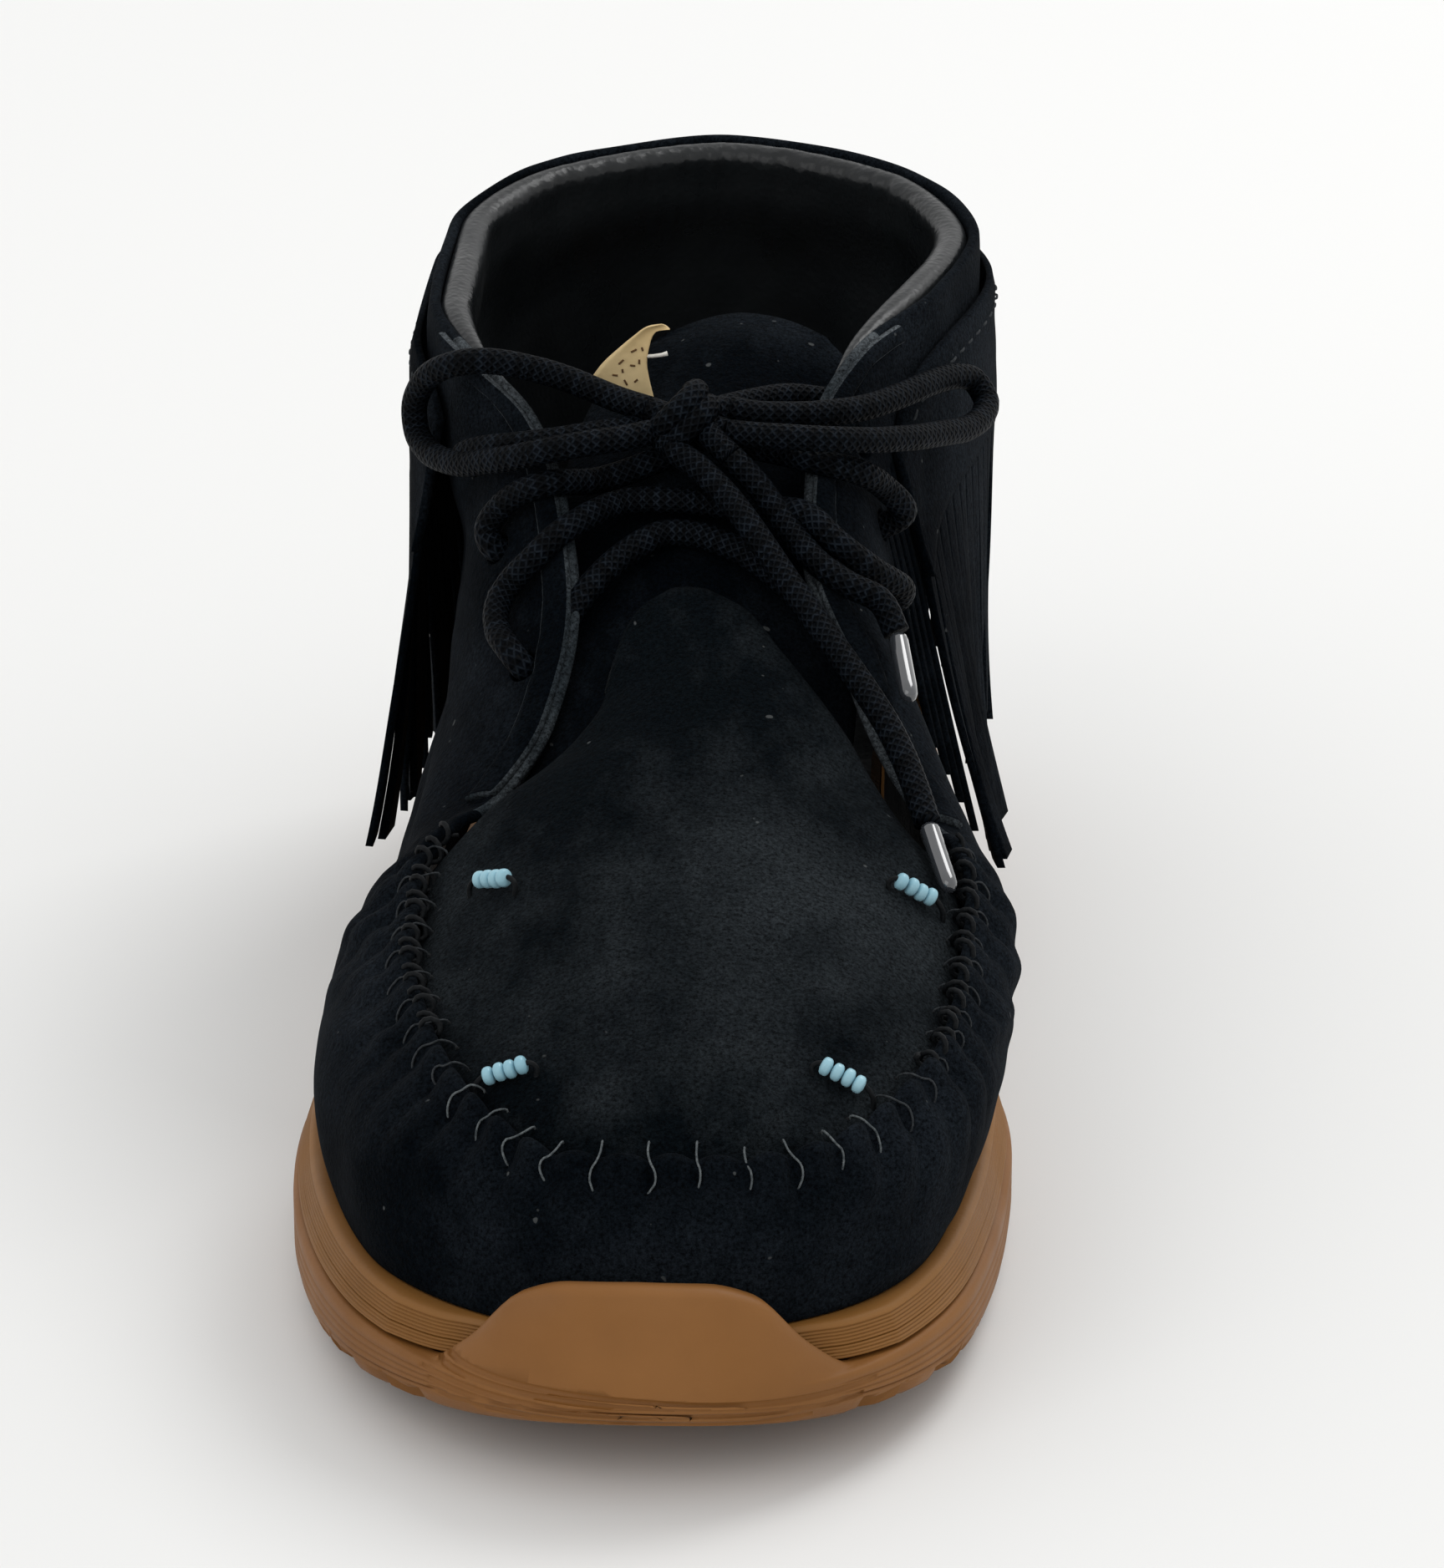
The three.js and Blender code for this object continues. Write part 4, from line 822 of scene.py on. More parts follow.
def plug_at(y, u):
    start = smoothstep(y, PLUG_START, PLUG_START + 15)
    held = np.maximum(y, PLUG_START + TOE_BOW)
    (left_x, left_z), (right_x, right_z) = plug_border(LATERAL, held), plug_border(MEDIAL, held)
    part = (u + 1) / 2
    ridge = COLLAR_HEIGHT * track(PLUG_RIDGE, "along", "up", y / SOLE_LENGTH)
    border = lerp(left_z, right_z, part)
    z = border + (ridge - border) * (1 - np.abs(u) ** PLUG_DOME)
    return np.stack([lerp(left_x, right_x, part), y + TOE_BOW * (1 - start) * u * u, z], -1)


plug_y = lerp(PLUG_START, PLUG_END, np.linspace(0, 1, 130) ** 1.1)
plug_u = np.sin(np.linspace(-1, 1, 90) * np.pi / 2) * 0.35 + np.linspace(-1, 1, 90) * 0.65
u_grid, y_grid = grid(plug_u, plug_y)
plug = plug_at(y_grid, u_grid)
plug[..., 2] += 0.55 * waves(plug, 21, 60) * (1 - np.abs(u_grid) ** 4)
rim = smoothstep(np.abs(u_grid), 0.93, 1.0)
plug_face, plug_back = plug.copy(), plug.copy()
plug_face[..., 2] -= 0.5 * rim
plug_back[..., 2] -= PLUG_THICK - 0.35 * rim
piece("toe_plug_suede", *closed_sheet(plug_face, plug_back), PLUG_SKIN, "dark_suede", ["toe_plug"])


# Thread of the moccasin seam
def plug_top(x, y):
    """The plug's face over places given across and along."""
    held = np.maximum(y, PLUG_START + TOE_BOW)
    left, right = plug_border(LATERAL, held)[0], plug_border(MEDIAL, held)[0]
    return plug_at(y, np.clip(2 * (x - left) / (right - left) - 1, -0.985, 0.985))


def seam_frame(at):
    """Ridge point and inward direction of the seam at an arc position."""
    way = unit(suede_face(w_of(at + 1.5), 1.0) - suede_face(w_of(at - 1.5), 1.0))
    inward = unit(np.stack([way[..., 1], -way[..., 0], np.zeros_like(way[..., 0])], -1))
    return suede_face(w_of(at), 1.0), inward


seam_low, seam_high = (float(arc_of(w)) for w in (2 * HEEL_ROW - SEAM_ROW + 0.35, SEAM_ROW - 0.35))
PALE_REACH = 42
pale, dim, hole_shade = Build(), Build(), Build()
for k in range(math.ceil(seam_low / STITCH_PITCH), math.floor(seam_high / STITCH_PITCH) + 1):
    at = k * STITCH_PITCH
    ridge, inward = seam_frame(at)
    wall = wall_length(w_of(at))
    hole = plug_top(*(ridge + inward * 3.0)[:2])
    bow = (1 if at > 0 else -1) * draw.uniform(0.5, 1.3)
    route = [hole - [0, 0, 0.7], hole + [0, 0, 0.35], ridge + inward * 0.8 + [0, 0, 1.25]]
    drop = draw.uniform(2.4, 4.0)
    for share in (0.12, 0.35, 0.6, 0.85, 1.0):
        aside = w_of(at + bow * math.sin(math.pi * share))
        route.append(suede_face(aside, 1 - share * drop / wall, 0.3 if share < 0.9 else -0.5))
    path = resample(curve_points(route, 5), 0.6)
    (pale if abs(at) < PALE_REACH else dim).add(*tube(path, 0.17, 6))
    # Dark stub in each stitch hole: painted shade of the hole round the thread
    hole_shade.add(*tube(np.stack([hole + inward * 0.5 + [0, 0, d] for d in (-0.9, 0.12)]), 0.55, 8))
pale.piece("stitches", THREAD_PALE, "lace")
dim.piece("side_stitches", THREAD_DIM, "lace")
hole_shade.piece("stitch_hole_shade", THREAD_DARK, "lace")

# Whipped thread round the ridge, toward the ends of the seam
WHIP_FROM = 52
whip = Build()
for low, high in ((seam_low, -WHIP_FROM), (WHIP_FROM, seam_high)):
    at = np.arange(low, high, 0.35)
    ridge, inward = seam_frame(at)
    turn = 2 * np.pi * at / (STITCH_PITCH * 0.5)
    reach = 1.35 + 0.2 * np.sin(at * 1.3)
    path = ridge + inward * (0.9 + reach * np.cos(turn))[:, None] - [0, 0, 0.25]
    path[:, 2] += (reach * 0.95) * np.sin(turn)
    whip.add(*tube(path, 0.42, 7))
whip.piece("whipping", THREAD_DARK, "lace")

# Sheet that lines the forefoot under the plug, and painted shade: its dark leather fills the slits along the
# seam where the insole would show
u_grid, y_grid = grid(np.linspace(-1.06, 1.06, 24), np.linspace(PLUG_START - 1, PLUG_END - 4, 60))
vamp = plug_at(y_grid, u_grid) - [0, 0, PLUG_THICK + 0.5]
piece("vamp_lining_and_shade", *closed_sheet(vamp, vamp - [0, 0, 0.7]), LINING_SKIN, "lining_leather")

# Tongue
TONGUE = table("along middle half up drop", [
    [0.331, 0.04, 0.44, 0.56, 0.06], [0.397, 0.02, 0.47, 0.617, 0.11],
    [0.476, 0.02, 0.5, 0.695, 0.085], [0.534, 0.02, 0.47, 0.78, 0.08],
    [0.586, 0.03, 0.43, 0.85, 0.075], [0.631, 0.06, 0.41, 0.897, 0.06],
    [0.666, 0.11, 0.37, 0.935, 0.045], [0.686, 0.14, 0.25, 0.951, 0.02],
])


def tongue_at(y, u):
    middle, half, up, drop = columns(TONGUE, "along", "middle half up drop", y / SOLE_LENGTH)
    z = COLLAR_HEIGHT * (up - drop * np.abs(u) ** 1.8)
    return np.stack([MEDIAL_HALF * (middle + u * half), y, z], -1)


tongue_y = np.linspace(TONGUE["along"][0], TONGUE["along"][-1], 90) * SOLE_LENGTH
u_grid, y_grid = grid(np.linspace(-1, 1, 56), tongue_y)
tongue = tongue_at(y_grid, u_grid)
end = smoothstep(y_grid, tongue_y[-1] - 7, tongue_y[-1])
tongue[..., 1] += 4.0 * end * (1 - u_grid ** 2) - 1.5 * end
tongue[..., 2] += 0.5 * waves(tongue, 31, 40)
rim = np.maximum(smoothstep(np.abs(u_grid), 0.9, 1.0), end)
tongue_top, tongue_under = tongue.copy(), tongue.copy()
tongue_top[..., 2] -= 0.8 * rim ** 2
tongue_under[..., 2] -= TONGUE_THICK - 0.8 * rim ** 2
piece("tongue_suede", *closed_sheet(tongue_top, tongue_under), SUEDE_SKIN, "dark_suede", ["tongue"])

# Fringe: an uncut band under the collar and cut strips that hang from it
CAPE_OUTER, CAPE_INNER = -4, 4.2
CAPE_TIP = 0.24
BAND_SHARE = 0.3
CAPE_HANG = 1.2
CAPE = {
    LATERAL: table("station top turn out", [
        [0, 0.93, 1, 0.03], [1, 0.92, 0.83, 0.04], [2, 0.91, 0.73, 0.06],
        [3, 0.9, 0.645, 0.08], [3.6, 0.87, 0.585, 0.09], [4.2, 0.8, 0.525, 0.09],
    ]),
    MEDIAL: table("station top turn out", [
        [0, 0.93, 1, 0.03], [1, 0.92, 0.83, 0.04], [2, 0.91, 0.73, 0.07],
        [3, 0.9, 0.645, 0.12], [3.6, 0.87, 0.59, 0.15], [4.2, 0.8, 0.545, 0.16],
    ]),
}


def cape_at(station, fall, proud):
    """Points of the fringe; station counts rows from the heel's middle, outer side negative."""
    station, fall = np.broadcast_arrays(np.asarray(station, float), np.asarray(fall, float))
    side = np.where(station < 0, LATERAL, MEDIAL)
    back = np.abs(station)
    top, turn, out = sided(side, lambda s: np.array(columns(CAPE[s], "station", "top turn out", back)))
    row = HEEL_ROW - back
    top = COLLAR_HEIGHT * top
    low, high = np.full_like(row, 0.02), np.full_like(row, 0.97)
    for _ in range(18):
        middle = (low + high) / 2
        under = skin_at(side, row, middle)[..., 2] < top
        low, high = np.where(under, middle, low), np.where(under, high, middle)
    away = unit(skin_normal(np.where(side < 0, row, 2 * HEEL_ROW - row), low) * [1, 1, 0])
    stand = lerp(FRINGE_SEWN, FRINGE_STAND, np.minimum(fall / BAND_SHARE, 1))
    hung = skin_at(side, row, low) + away * (stand + proud)[..., None]
    tip = outline_at(side, turn, -LATERAL_HALF * out - proud)[0]
    point = lerp(hung, tip, (fall ** CAPE_HANG)[..., None])
    point[..., 2] = lerp(top, COLLAR_HEIGHT * CAPE_TIP, fall)
    return point


STRIPS = 62
STRIP_GAP_SHARE = 0.1
fine_station = np.linspace(CAPE_OUTER, CAPE_INNER, 400)
band_length = lengths_along(cape_at(fine_station, BAND_SHARE, 0.0))


def station_of(share):
    return np.interp(np.asarray(share) * band_length[-1], band_length, fine_station)


fringe = Build()
share, fall = grid(np.linspace(0, 1, 330), np.linspace(0, BAND_SHARE, 22))
soft = 0.45 * waves(np.stack([share * 300, fall * 90, share * 0], -1), 41, 44) * smoothstep(fall, 0, 0.1)
top_roll = 0.5 * (1 - smoothstep(fall, 0, 0.035))
station = station_of(share)
fringe.add(*closed_sheet(cape_at(station, fall, FRINGE_THICK - top_roll + soft),
                         cape_at(station, fall, 0.25 + soft)))
FALLS = np.linspace(BAND_SHARE - 0.012, 1, 26)
for k in range(STRIPS):
    lean, curl = draw.uniform(-0.35, 0.35) / STRIPS, draw.uniform(-1.0, 1.6)
    twist, length = draw.uniform(-0.9, 0.9), draw.uniform(0.93, 1.03)
    share, fall = grid(np.linspace(STRIP_GAP_SHARE / 2, 1 - STRIP_GAP_SHARE / 2, 5), FALLS)
    down = (fall - FALLS[0]) / (1 - FALLS[0])
    place = (k + 0.5 + (share - 0.5) * (1 - 0.12 * down)) / STRIPS + lean * down ** 1.5
    proud = curl * down ** 2 * 1.4 + twist * (share - 0.5) * 2.4 * down
    proud += 0.5 * np.sin(down * 5 + k * 1.7) * down
    station = station_of(np.clip(place, 0, 1))
    reach = FALLS[0] + (fall - FALLS[0]) * length
    fringe.add(*closed_sheet(cape_at(station, reach, 0.3 + FRINGE_THICK * 0.72 + proud),
                             cape_at(station, reach, 0.3 + proud)))

# A few short strips between the quarter and the front of the fringe
for k in range(4):
    across = 4.22 + 0.13 * k + np.linspace(-0.055, 0.055, 4)
    station, fall = grid(across, np.linspace(0.02, 0.9 - 0.07 * k, 20))
    tuck = -1.2 - 1.1 * k * fall
    fringe.add(*closed_sheet(cape_at(station, fall, 1.2 + tuck), cape_at(station, fall, tuck)))
fringe.piece("fringe", SUEDE_SKIN, "dark_suede", ["fringe_cape"])

# Stitches that hold the fringe under the collar
hem = Build()
for at in np.arange(2, band_length[-1] - 4, 4.4):
    share = (at + np.linspace(0, 2.9, 6)) / band_length[-1]
    sunk = np.array([-0.5, 0.05, 0.12, 0.12, 0.05, -0.5])
    hem.add(*tube(cape_at(station_of(share), np.full(6, 0.045), FRINGE_THICK + sunk), 0.22, 6))
hem.piece("fringe_stitches", THREAD_DIM, "lace")


# Sole
SOLE_COUNT = 360


def sole_ring(inset, height):
    half = SOLE_COUNT // 2
    turn = np.concatenate([np.arange(half + 1) / half, np.arange(half - 1, 0, -1) / half])
    side = np.concatenate([np.full(half + 1, LATERAL), np.full(half - 1, MEDIAL)])
    point = outline_at(side, turn, inset(turn) if callable(inset) else np.full(SOLE_COUNT, float(inset)))[0]
    point[:, 2] = height(point[:, 1], turn)
    return point


def loft(rings):
    """Closed solid over rings, with flat ends made of strips across the shoe."""
    count = len(rings[0])
    points = np.concatenate(rings)
    faces = []
    for r in range(len(rings) - 1):
        for i in range(count):
            a, b = r * count + i, r * count + (i + 1) % count
            faces.append((a, a + count, b + count, b))
    for base, low in ((0, True), ((len(rings) - 1) * count, False)):
        for i in range(count // 2):
            a, b = base + i, base + i + 1
            c, d = base + (2 * count - i - 1) % count, base + (count - i) % count
            face = [a, b, c] if i == 0 else ([a, b, d] if i == count // 2 - 1 else [a, b, c, d])
            faces.append(tuple(face) if low else tuple(reversed(face)))
    return points, faces


BUMPER = table("turn top lean wall", [
    [0, 1, 1, 1], [0.0333, 0.99, 0.97, 1], [0.0667, 0.92, 0.85, 1], [0.1, 0.68, 0.6, 0.8],
    [0.1333, 0.5, 0.3, 0.3], [0.1667, 0.43, 0, 0],
])
BUMPER_LEAN = 4.3
BAND_FOOT = 2.5
NOTCH_PITCH = TREAD_PITCH * 0.72


def groove(y, turn=None):
    return groove_z(y) - CLEARANCE / 2


def over_floor(up):
    return lambda y, turn: bottom_z(y) + up


def bumper_share(column, turn):
    return track(BUMPER, "turn", column, turn)


def on_bumper(turn, soft=0.012):
    return 1 - smoothstep(turn, 0.118 - soft, 0.118 + soft)


def between(part):
    return lambda y, turn: lerp(bottom_z(y) + BAND_FOOT, groove(y), part)


def notched(inset, depth):
    """Inset of the lower band, with the lugs' notches away from the bumper."""
    def value(turn):
        cuts = 0.5 + 0.5 * np.cos(2 * np.pi * turn * SOLE_LENGTH / NOTCH_PITCH)
        return inset + depth * smoothstep(cuts, 0.8, 0.97) * (1 - on_bumper(turn))
    return value


sole_rings = [
    sole_ring(SOLE_BEVEL, over_floor(0)),
    sole_ring(notched(3.4, 1.2), over_floor(0.25)),
    sole_ring(notched(1.7, 1.8), over_floor(1.3)),
    sole_ring(notched(0.9, 1.9), over_floor(BAND_FOOT)),
]
RIBS = 5
for k in range(RIBS):
    start, width = 0.1 + 0.76 * k / RIBS, 0.76 / RIBS
    depth = 0.7 if k == 1 else 0.16
    plain = 0.35 if k == 0 else 0.0
    shallow = notched(plain + depth, 0.9 if k == 0 else 0.0)
    for part, inset in ((0.0, shallow), (0.16, shallow), (0.3, None), (0.92, None)):
        fit = (lambda turn, s=shallow, p=plain: lerp(s(turn), p, on_bumper(turn))) if inset else plain
        sole_rings.append(sole_ring(fit, between(start + part * width)))
sole_rings.append(sole_ring(lambda turn: 0.1 * (1 - on_bumper(turn)), between(0.95)))


def bumper_inset(plain, lean, wall):
    return lambda turn: lerp(plain, BUMPER_LEAN * lean * bumper_share("lean", turn) + BUMPER_WALL * wall,
                             bumper_share("wall", turn))


def bumper_z(level):
    def height(y, turn):
        seat = groove(y)
        return lerp(seat, np.maximum(seat, BUMPER_TOP * bumper_share("top", turn)), level)
    return height


# Rings of the bumper: plain inset, shares of its lean and wall, and level
for plain, lean, wall, level in (
        (0.8, 0, 0, 0), (1.8, 0.02, 0, 0.08), (2.2, 0.12, 0, 0.28), (2.4, 0.3, 0, 0.5),
        (2.5, 0.58, 0, 0.74), (2.6, 0.86, 0.02, 0.93), (2.7, 0.98, 0.12, 0.99), (2.8, 1, 0.4, 1),
        (3.1, 1, 0.82, 0.985), (3.2, 1, 0.97, 0.9), (3.4, 0.2, 1, 0)):
    sole_rings.append(sole_ring(bumper_inset(plain, lean, wall), bumper_z(level)))
outsole = piece("outsole_gum", *loft(sole_rings), GUM, "gum_rubber", ["outsole"])

# Grooves between the lugs
CHEVRON, CHEVRON_HALF = 5, 15
ARCH_FROM, ARCH_TO = 0.43, 0.66
cutters = Build()
y = TREAD_PITCH
while y < SOLE_LENGTH - TREAD_PITCH:
    middle = (y + TREAD_WIDTH / 2) / SOLE_LENGTH
    if not ARCH_FROM < middle < ARCH_TO:
        top = float(bottom_z(np.array(y + CHEVRON / 2))) + TREAD_DEPTH
        line = [[k * CHEVRON_HALF, y + (CHEVRON if k % 2 else 0)] for k in range(-4, 5)]
        outline = line + [[x, v + TREAD_WIDTH] for x, v in reversed(line)]
        n = len(outline)
        faces = [(k, (k + 1) % n, (k + 1) % n + n, k + n) for k in range(n)]
        for k in range(8):
            a, b, c, d = k, k + 1, n - 2 - k, n - 1 - k
            faces += [(d, c, b, a), (a + n, b + n, c + n, d + n)]
        cutters.add([[x, v, z] for z in (top - 16, top) for x, v in outline], faces)
    y += TREAD_PITCH

# Curved grooves across the foot of the bumper: first and last x, first and last height
GROOVE_RADIUS = 0.6
bpy.context.view_layer.update()
for start, end, high, low in ((-30, 34, 19.3, 14.2), (-29, 16, 17.6, 14.8), (-31, 32, 16.1, 12.5),
                              (-30, 8, 14.5, 13.2), (-30, 25, 13.0, 11.2)):
    line = []
    for share in np.linspace(0, 1, 40):
        x, z = start + (end - start) * share, high + (low - high) * share ** 0.8
        wall = outsole.ray_cast(metres([x, -40, z]), (0, 1, 0))[1].y / MM - SHIFT[1]
        line.append([x, wall - GROOVE_RADIUS + 0.62 * math.sin(math.pi * share) ** 0.5, z])
    cutters.add(*tube(line, GROOVE_RADIUS, 8))


def cut(target, build, name):
    """Takes the forms of build out of the target's mesh."""
    cutter = build.piece(name, GUM)
    made = target.modifiers.new("cut", "BOOLEAN")
    made.operation, made.solver, made.object = "DIFFERENCE", "MANIFOLD", cutter
    bpy.context.view_layer.update()
    result = bpy.data.meshes.new_from_object(target.evaluated_get(bpy.context.evaluated_depsgraph_get()))
    target.modifiers.clear()
    target.data = result
    bpy.data.objects.remove(cutter)


cut(outsole, cutters, "tread_cutter")


# Midsole: ribbed band that leans outward downwards, with a bed for the insole
def behind_bumper(inset):
    def value(turn):
        wall = bumper_share("wall", turn)
        return inset + wall * (BUMPER_WALL + CLEARANCE) + 0.25 * BUMPER_LEAN * np.minimum(1, 2 * wall)
    return value


def band_z(part):
    return lambda y, turn: lerp(groove_z(y) + CLEARANCE / 2, wall_z(y), part)


def bed_inset(turn):
    return LEDGE + QUARTER_WALL + CLEARANCE + toe_ledge(turn)


band_profile = [(0.0, 2.4), (0.03, 1.3), (0.08, 0.85)]
MID_RIBS = 9
for k in range(MID_RIBS):
    start, width = 0.12 + 0.76 * k / MID_RIBS, 0.76 / MID_RIBS
    lean = lerp(0.8, 2.7, (k + 0.5) / MID_RIBS)
    depth = 0.8 if k == 3 else 0.12
    for part, deep in ((0, 0), (0.12, depth), (0.3, depth), (0.42, 0), (0.95, 0)):
        band_profile.append((start + part * width, lean + deep))
band_profile += [(0.9, 2.75), (0.96, 3.0), (0.99, 3.4), (1.0, 3.9)]
mid_rings = [sole_ring(behind_bumper(inset), band_z(part)) for part, inset in band_profile]
mid_rings += [
    sole_ring(bed_inset, band_z(1.0)),
    sole_ring(bed_inset, lambda y, turn: wall_z(y) - RECESS_DEPTH),
]
piece("midsole_gum", *loft(mid_rings), GUM_BAND, "gum_midsole", ["midsole"])


# Insole: its node keeps its shape and gets the lining's leather
insole = NODES["insole"].data.materials
insole.clear()
insole.append(LINING_SKIN)

# Lace holes through the quarter
HOLES = {
    "outer_low": (9.6, 0.87), "outer_middle": (10.9, 0.77), "outer_top": (12.2, 0.74),
    "inner_low": (22.65, 0.63), "inner_middle": (21.85, 0.64), "inner_top": (21.65, 0.82),
}


def through_hole(name, depths):
    """Points on the axis of a lace hole, at depths behind and before the quarter's face."""
    w, level = HOLES[name]
    return suede_face(w, level) + skin_normal(w, level) * np.array(depths)[:, None]


for target, name, spare in ((upper, "suede_punch", 0), (collar, "lining_punch", 0.3)):
    punches = Build()
    for hole in HOLES:
        punches.add(*tube(through_hole(hole, np.linspace(-9, 5, 8)), LACE_HOLE / 2 + spare, 20))
    cut(target, punches, name)


# Lace
PLAIT_PITCH, PLAIT_STRANDS = 1.45, 9
LACE_SIDES = 14


def lace_material():
    s = Shader("waxed_lace", 0.55)
    s.place = s.node("ShaderNodeUVMap").outputs["UV"]
    split = s.node("ShaderNodeSeparateXYZ")
    s.link(s.place, split.inputs[0])
    strands = []
    for sign in (1, -1):
        turn = s.math("ADD", s.math("MULTIPLY", split.outputs[0], 2 * math.pi / PLAIT_PITCH),
                      s.math("MULTIPLY", split.outputs[1], sign * 2 * math.pi * PLAIT_STRANDS))
        strands.append(s.math("SINE", turn))
    plait = s.math("MAXIMUM", *strands)
    wear = s.ramp(s.noise(0.9, 3, 0.7), (0.45, (0.55, 0.55, 0.55)), (0.62, (2.6, 2.6, 2.6)))
    # Painted highlight and painted shade: the crowns of the plait are paler and the grooves between strands
    # darker
    tone = s.ramp(plait, (0.3, (0.0004, 0.0008, 0.0015)), (0.97, (0.0036, 0.005, 0.007)))
    s.color(s.mix(1.0, tone, wear, "MULTIPLY"))
    s.set(Specular_IOR_Level=0.035, Sheen_Weight=0.0)
    s.bump(plait, 0.00018, 0.8)
    return s.material


LACE_LOOK = lace_material()


def lace_path(route):
    return resample(curve_points(route, 14), 0.9)


def lace_piece(name, routes, replaces=(), radius=LACE / 2):
    """Round lace along its routes, with the length along it and the turn round it as its UV."""
    build, along, turns = Build(), [], []
    for route in routes:
        path = lace_path(route)
        build.add(*tube(path, radius, LACE_SIDES))
        length = lengths_along(path)
        along += [*np.repeat(length, LACE_SIDES), 0, length[-1]]
        turns += [*np.tile(np.arange(LACE_SIDES), len(path)), 0, 0]
    obj = build.piece(name, LACE_LOOK, "lace", replaces)
    layer = obj.data.uv_layers.new(name="UVMap")
    for polygon in obj.data.polygons:
        around = [turns[v] for v in polygon.vertices]
        wrapped = max(around) - min(around) > LACE_SIDES / 2
        for loop, vertex, at in zip(polygon.loop_indices, polygon.vertices, around):
            at = at + LACE_SIDES if wrapped and at < LACE_SIDES / 2 else at
            layer.data[loop].uv = (along[vertex], at / LACE_SIDES)
    return obj


BAR_LOW = [[-13.6, 143.4, 86.4], [-9, 147, 89.7], [-3.5, 149.7, 91.9], [3.5, 149, 91.6], [11.5, 145.6, 89]]
BAR_MIDDLE = [[-10.5, 155, 95], [-2, 154.5, 95.7], [6, 154.5, 94.8]]
BAR_INNER = [[-14, 161, 96.6], [-4.6, 162.5, 99.7]]
KNOT = [-0.9, 162.5, 106.1]
LOOP_OUTER = [
    [-6.3, 165.4, 106.9], [-11.3, 168.7, 107.3], [-15, 170.9, 108], [-18.8, 172.8, 108.9],
    [-22.8, 174.1, 109.8], [-27, 174.5, 110.7], [-31.3, 174.6, 111.4], [-35.5, 175.2, 111.2],
    [-39.2, 177, 109.8], [-42, 179.4, 107.6], [-44, 181.7, 104.6], [-45.2, 183.1, 100.7],
    [-44.7, 181.8, 96.8], [-42.9, 178.2, 95.3], [-40.8, 174.5, 95.2], [-38.3, 170.9, 95.7],
    [-35.7, 167.6, 96.6], [-33, 164.6, 98], [-30.1, 161.7, 99.4], [-26.9, 159.2, 100.9],
    [-23.3, 157.2, 102.4], [-19.3, 156.2, 103.6], [-15.1, 156.3, 104.4], [-10.9, 157.3, 104.7],
    [-6, 159.5, 105.1],
]
LOOP_INNER = [
    [6.2, 164.5, 107.5], [10.6, 164.4, 106.8], [14.8, 165, 106.5], [19, 166.3, 106.2],
    [22.8, 168.4, 105.9], [25.9, 171.3, 105.4], [28.7, 174.7, 105], [31.1, 178.3, 104.7],
    [33.3, 182, 104.4], [35.5, 185.8, 104.2], [37.5, 189.7, 103.8], [39.6, 193.5, 103.3],
    [41.8, 197.1, 102.5], [44.4, 200.1, 100.8], [46.4, 198.5, 98], [46, 194.4, 96.9],
    [44.7, 190.2, 96.8], [43, 186.2, 97.2], [41.1, 182.4, 98.1], [39.1, 178.7, 99], [37, 174.9, 99.9],
    [34.9, 171.3, 100.8], [32.4, 167.8, 101.8], [29.8, 164.5, 102.7], [26.8, 161.5, 103.7],
    [23.3, 159, 104.6], [19.2, 157.6, 105.2], [14.9, 157.6, 105.4], [10.6, 158.5, 105.3],
    [6.4, 159.6, 105.3],
]
END_LONG = [
    [-2.6, 157.3, 103.3], [2, 153.8, 101.3], [6, 149.8, 98.8], [9.6, 145.6, 95.8], [13, 141.8, 92.3],
    [16.3, 138, 88.8], [19.7, 133.7, 85.7], [23.1, 129.7, 82.4], [26.4, 125.6, 79.2],
    [29.6, 121.2, 76.2], [32.6, 116.7, 73.1], [35.1, 112, 69.9], [37.1, 107.1, 66.7],
    [38.9, 102.2, 63.3],
]
END_SHORT = [
    [7, 155, 102.8], [11, 152.8, 99.2], [14.4, 150, 95.5], [17.7, 146.3, 92.3], [21.2, 142.4, 89.8],
    [25.7, 139.5, 87.7], [30.8, 139.1, 85.1], [33.4, 136.4, 80.9],
]


def behind(name):
    """Points of the lace through a hole, from behind the quarter to its face."""
    return through_hole(name, (-5.0, -2.2, 0.8)).tolist()


STRAND_OUTER_LOW = [
    [-26.6, 134.5, 77.8], [-28.8, 139, 79.4], [-29, 143, 82], [-27.2, 145, 85], [-23.8, 145, 88.8],
]
STRAND_OUTER_MIDDLE = [[-31.6, 157, 89.5], [-29.9, 157.3, 92.6], [-26.8, 156, 95.7], [-22.3, 154.8, 98]]
STRAND_OUTER_TOP = [
    [-36.3, 171.6, 96.8], [-32.5, 166.8, 99.6], [-26.5, 163, 101.6], [-19.5, 162.6, 102.8],
    [-12, 164.5, 103.6], [-4.5, 166.2, 104.1],
]
STRAND_INNER_LOW = [[18.9, 149.6, 95.4], [24, 146.6, 91.8], [29.4, 148.4, 86.9], [33.9, 154, 81.6]]
STRAND_INNER_MIDDLE = [[26.8, 162.5, 98], [30.6, 167.5, 93.8], [33.8, 170.6, 88.6]]
lace_piece("lace_low", [
    [[-19, 137.5, 80], [-16.5, 140.5, 83.3], *BAR_LOW, [15.5, 143.5, 86.3], [20, 140.5, 82.8]],
], ["lace_bar_low"])
lace_piece("lace_middle", [
    [*behind("outer_low"), *STRAND_OUTER_LOW, [-19.3, 147.6, 92.6], *BAR_MIDDLE, [14, 152.5, 95.2],
     *STRAND_INNER_LOW, *behind("inner_low")[::-1]],
], ["lace_bar_middle"])
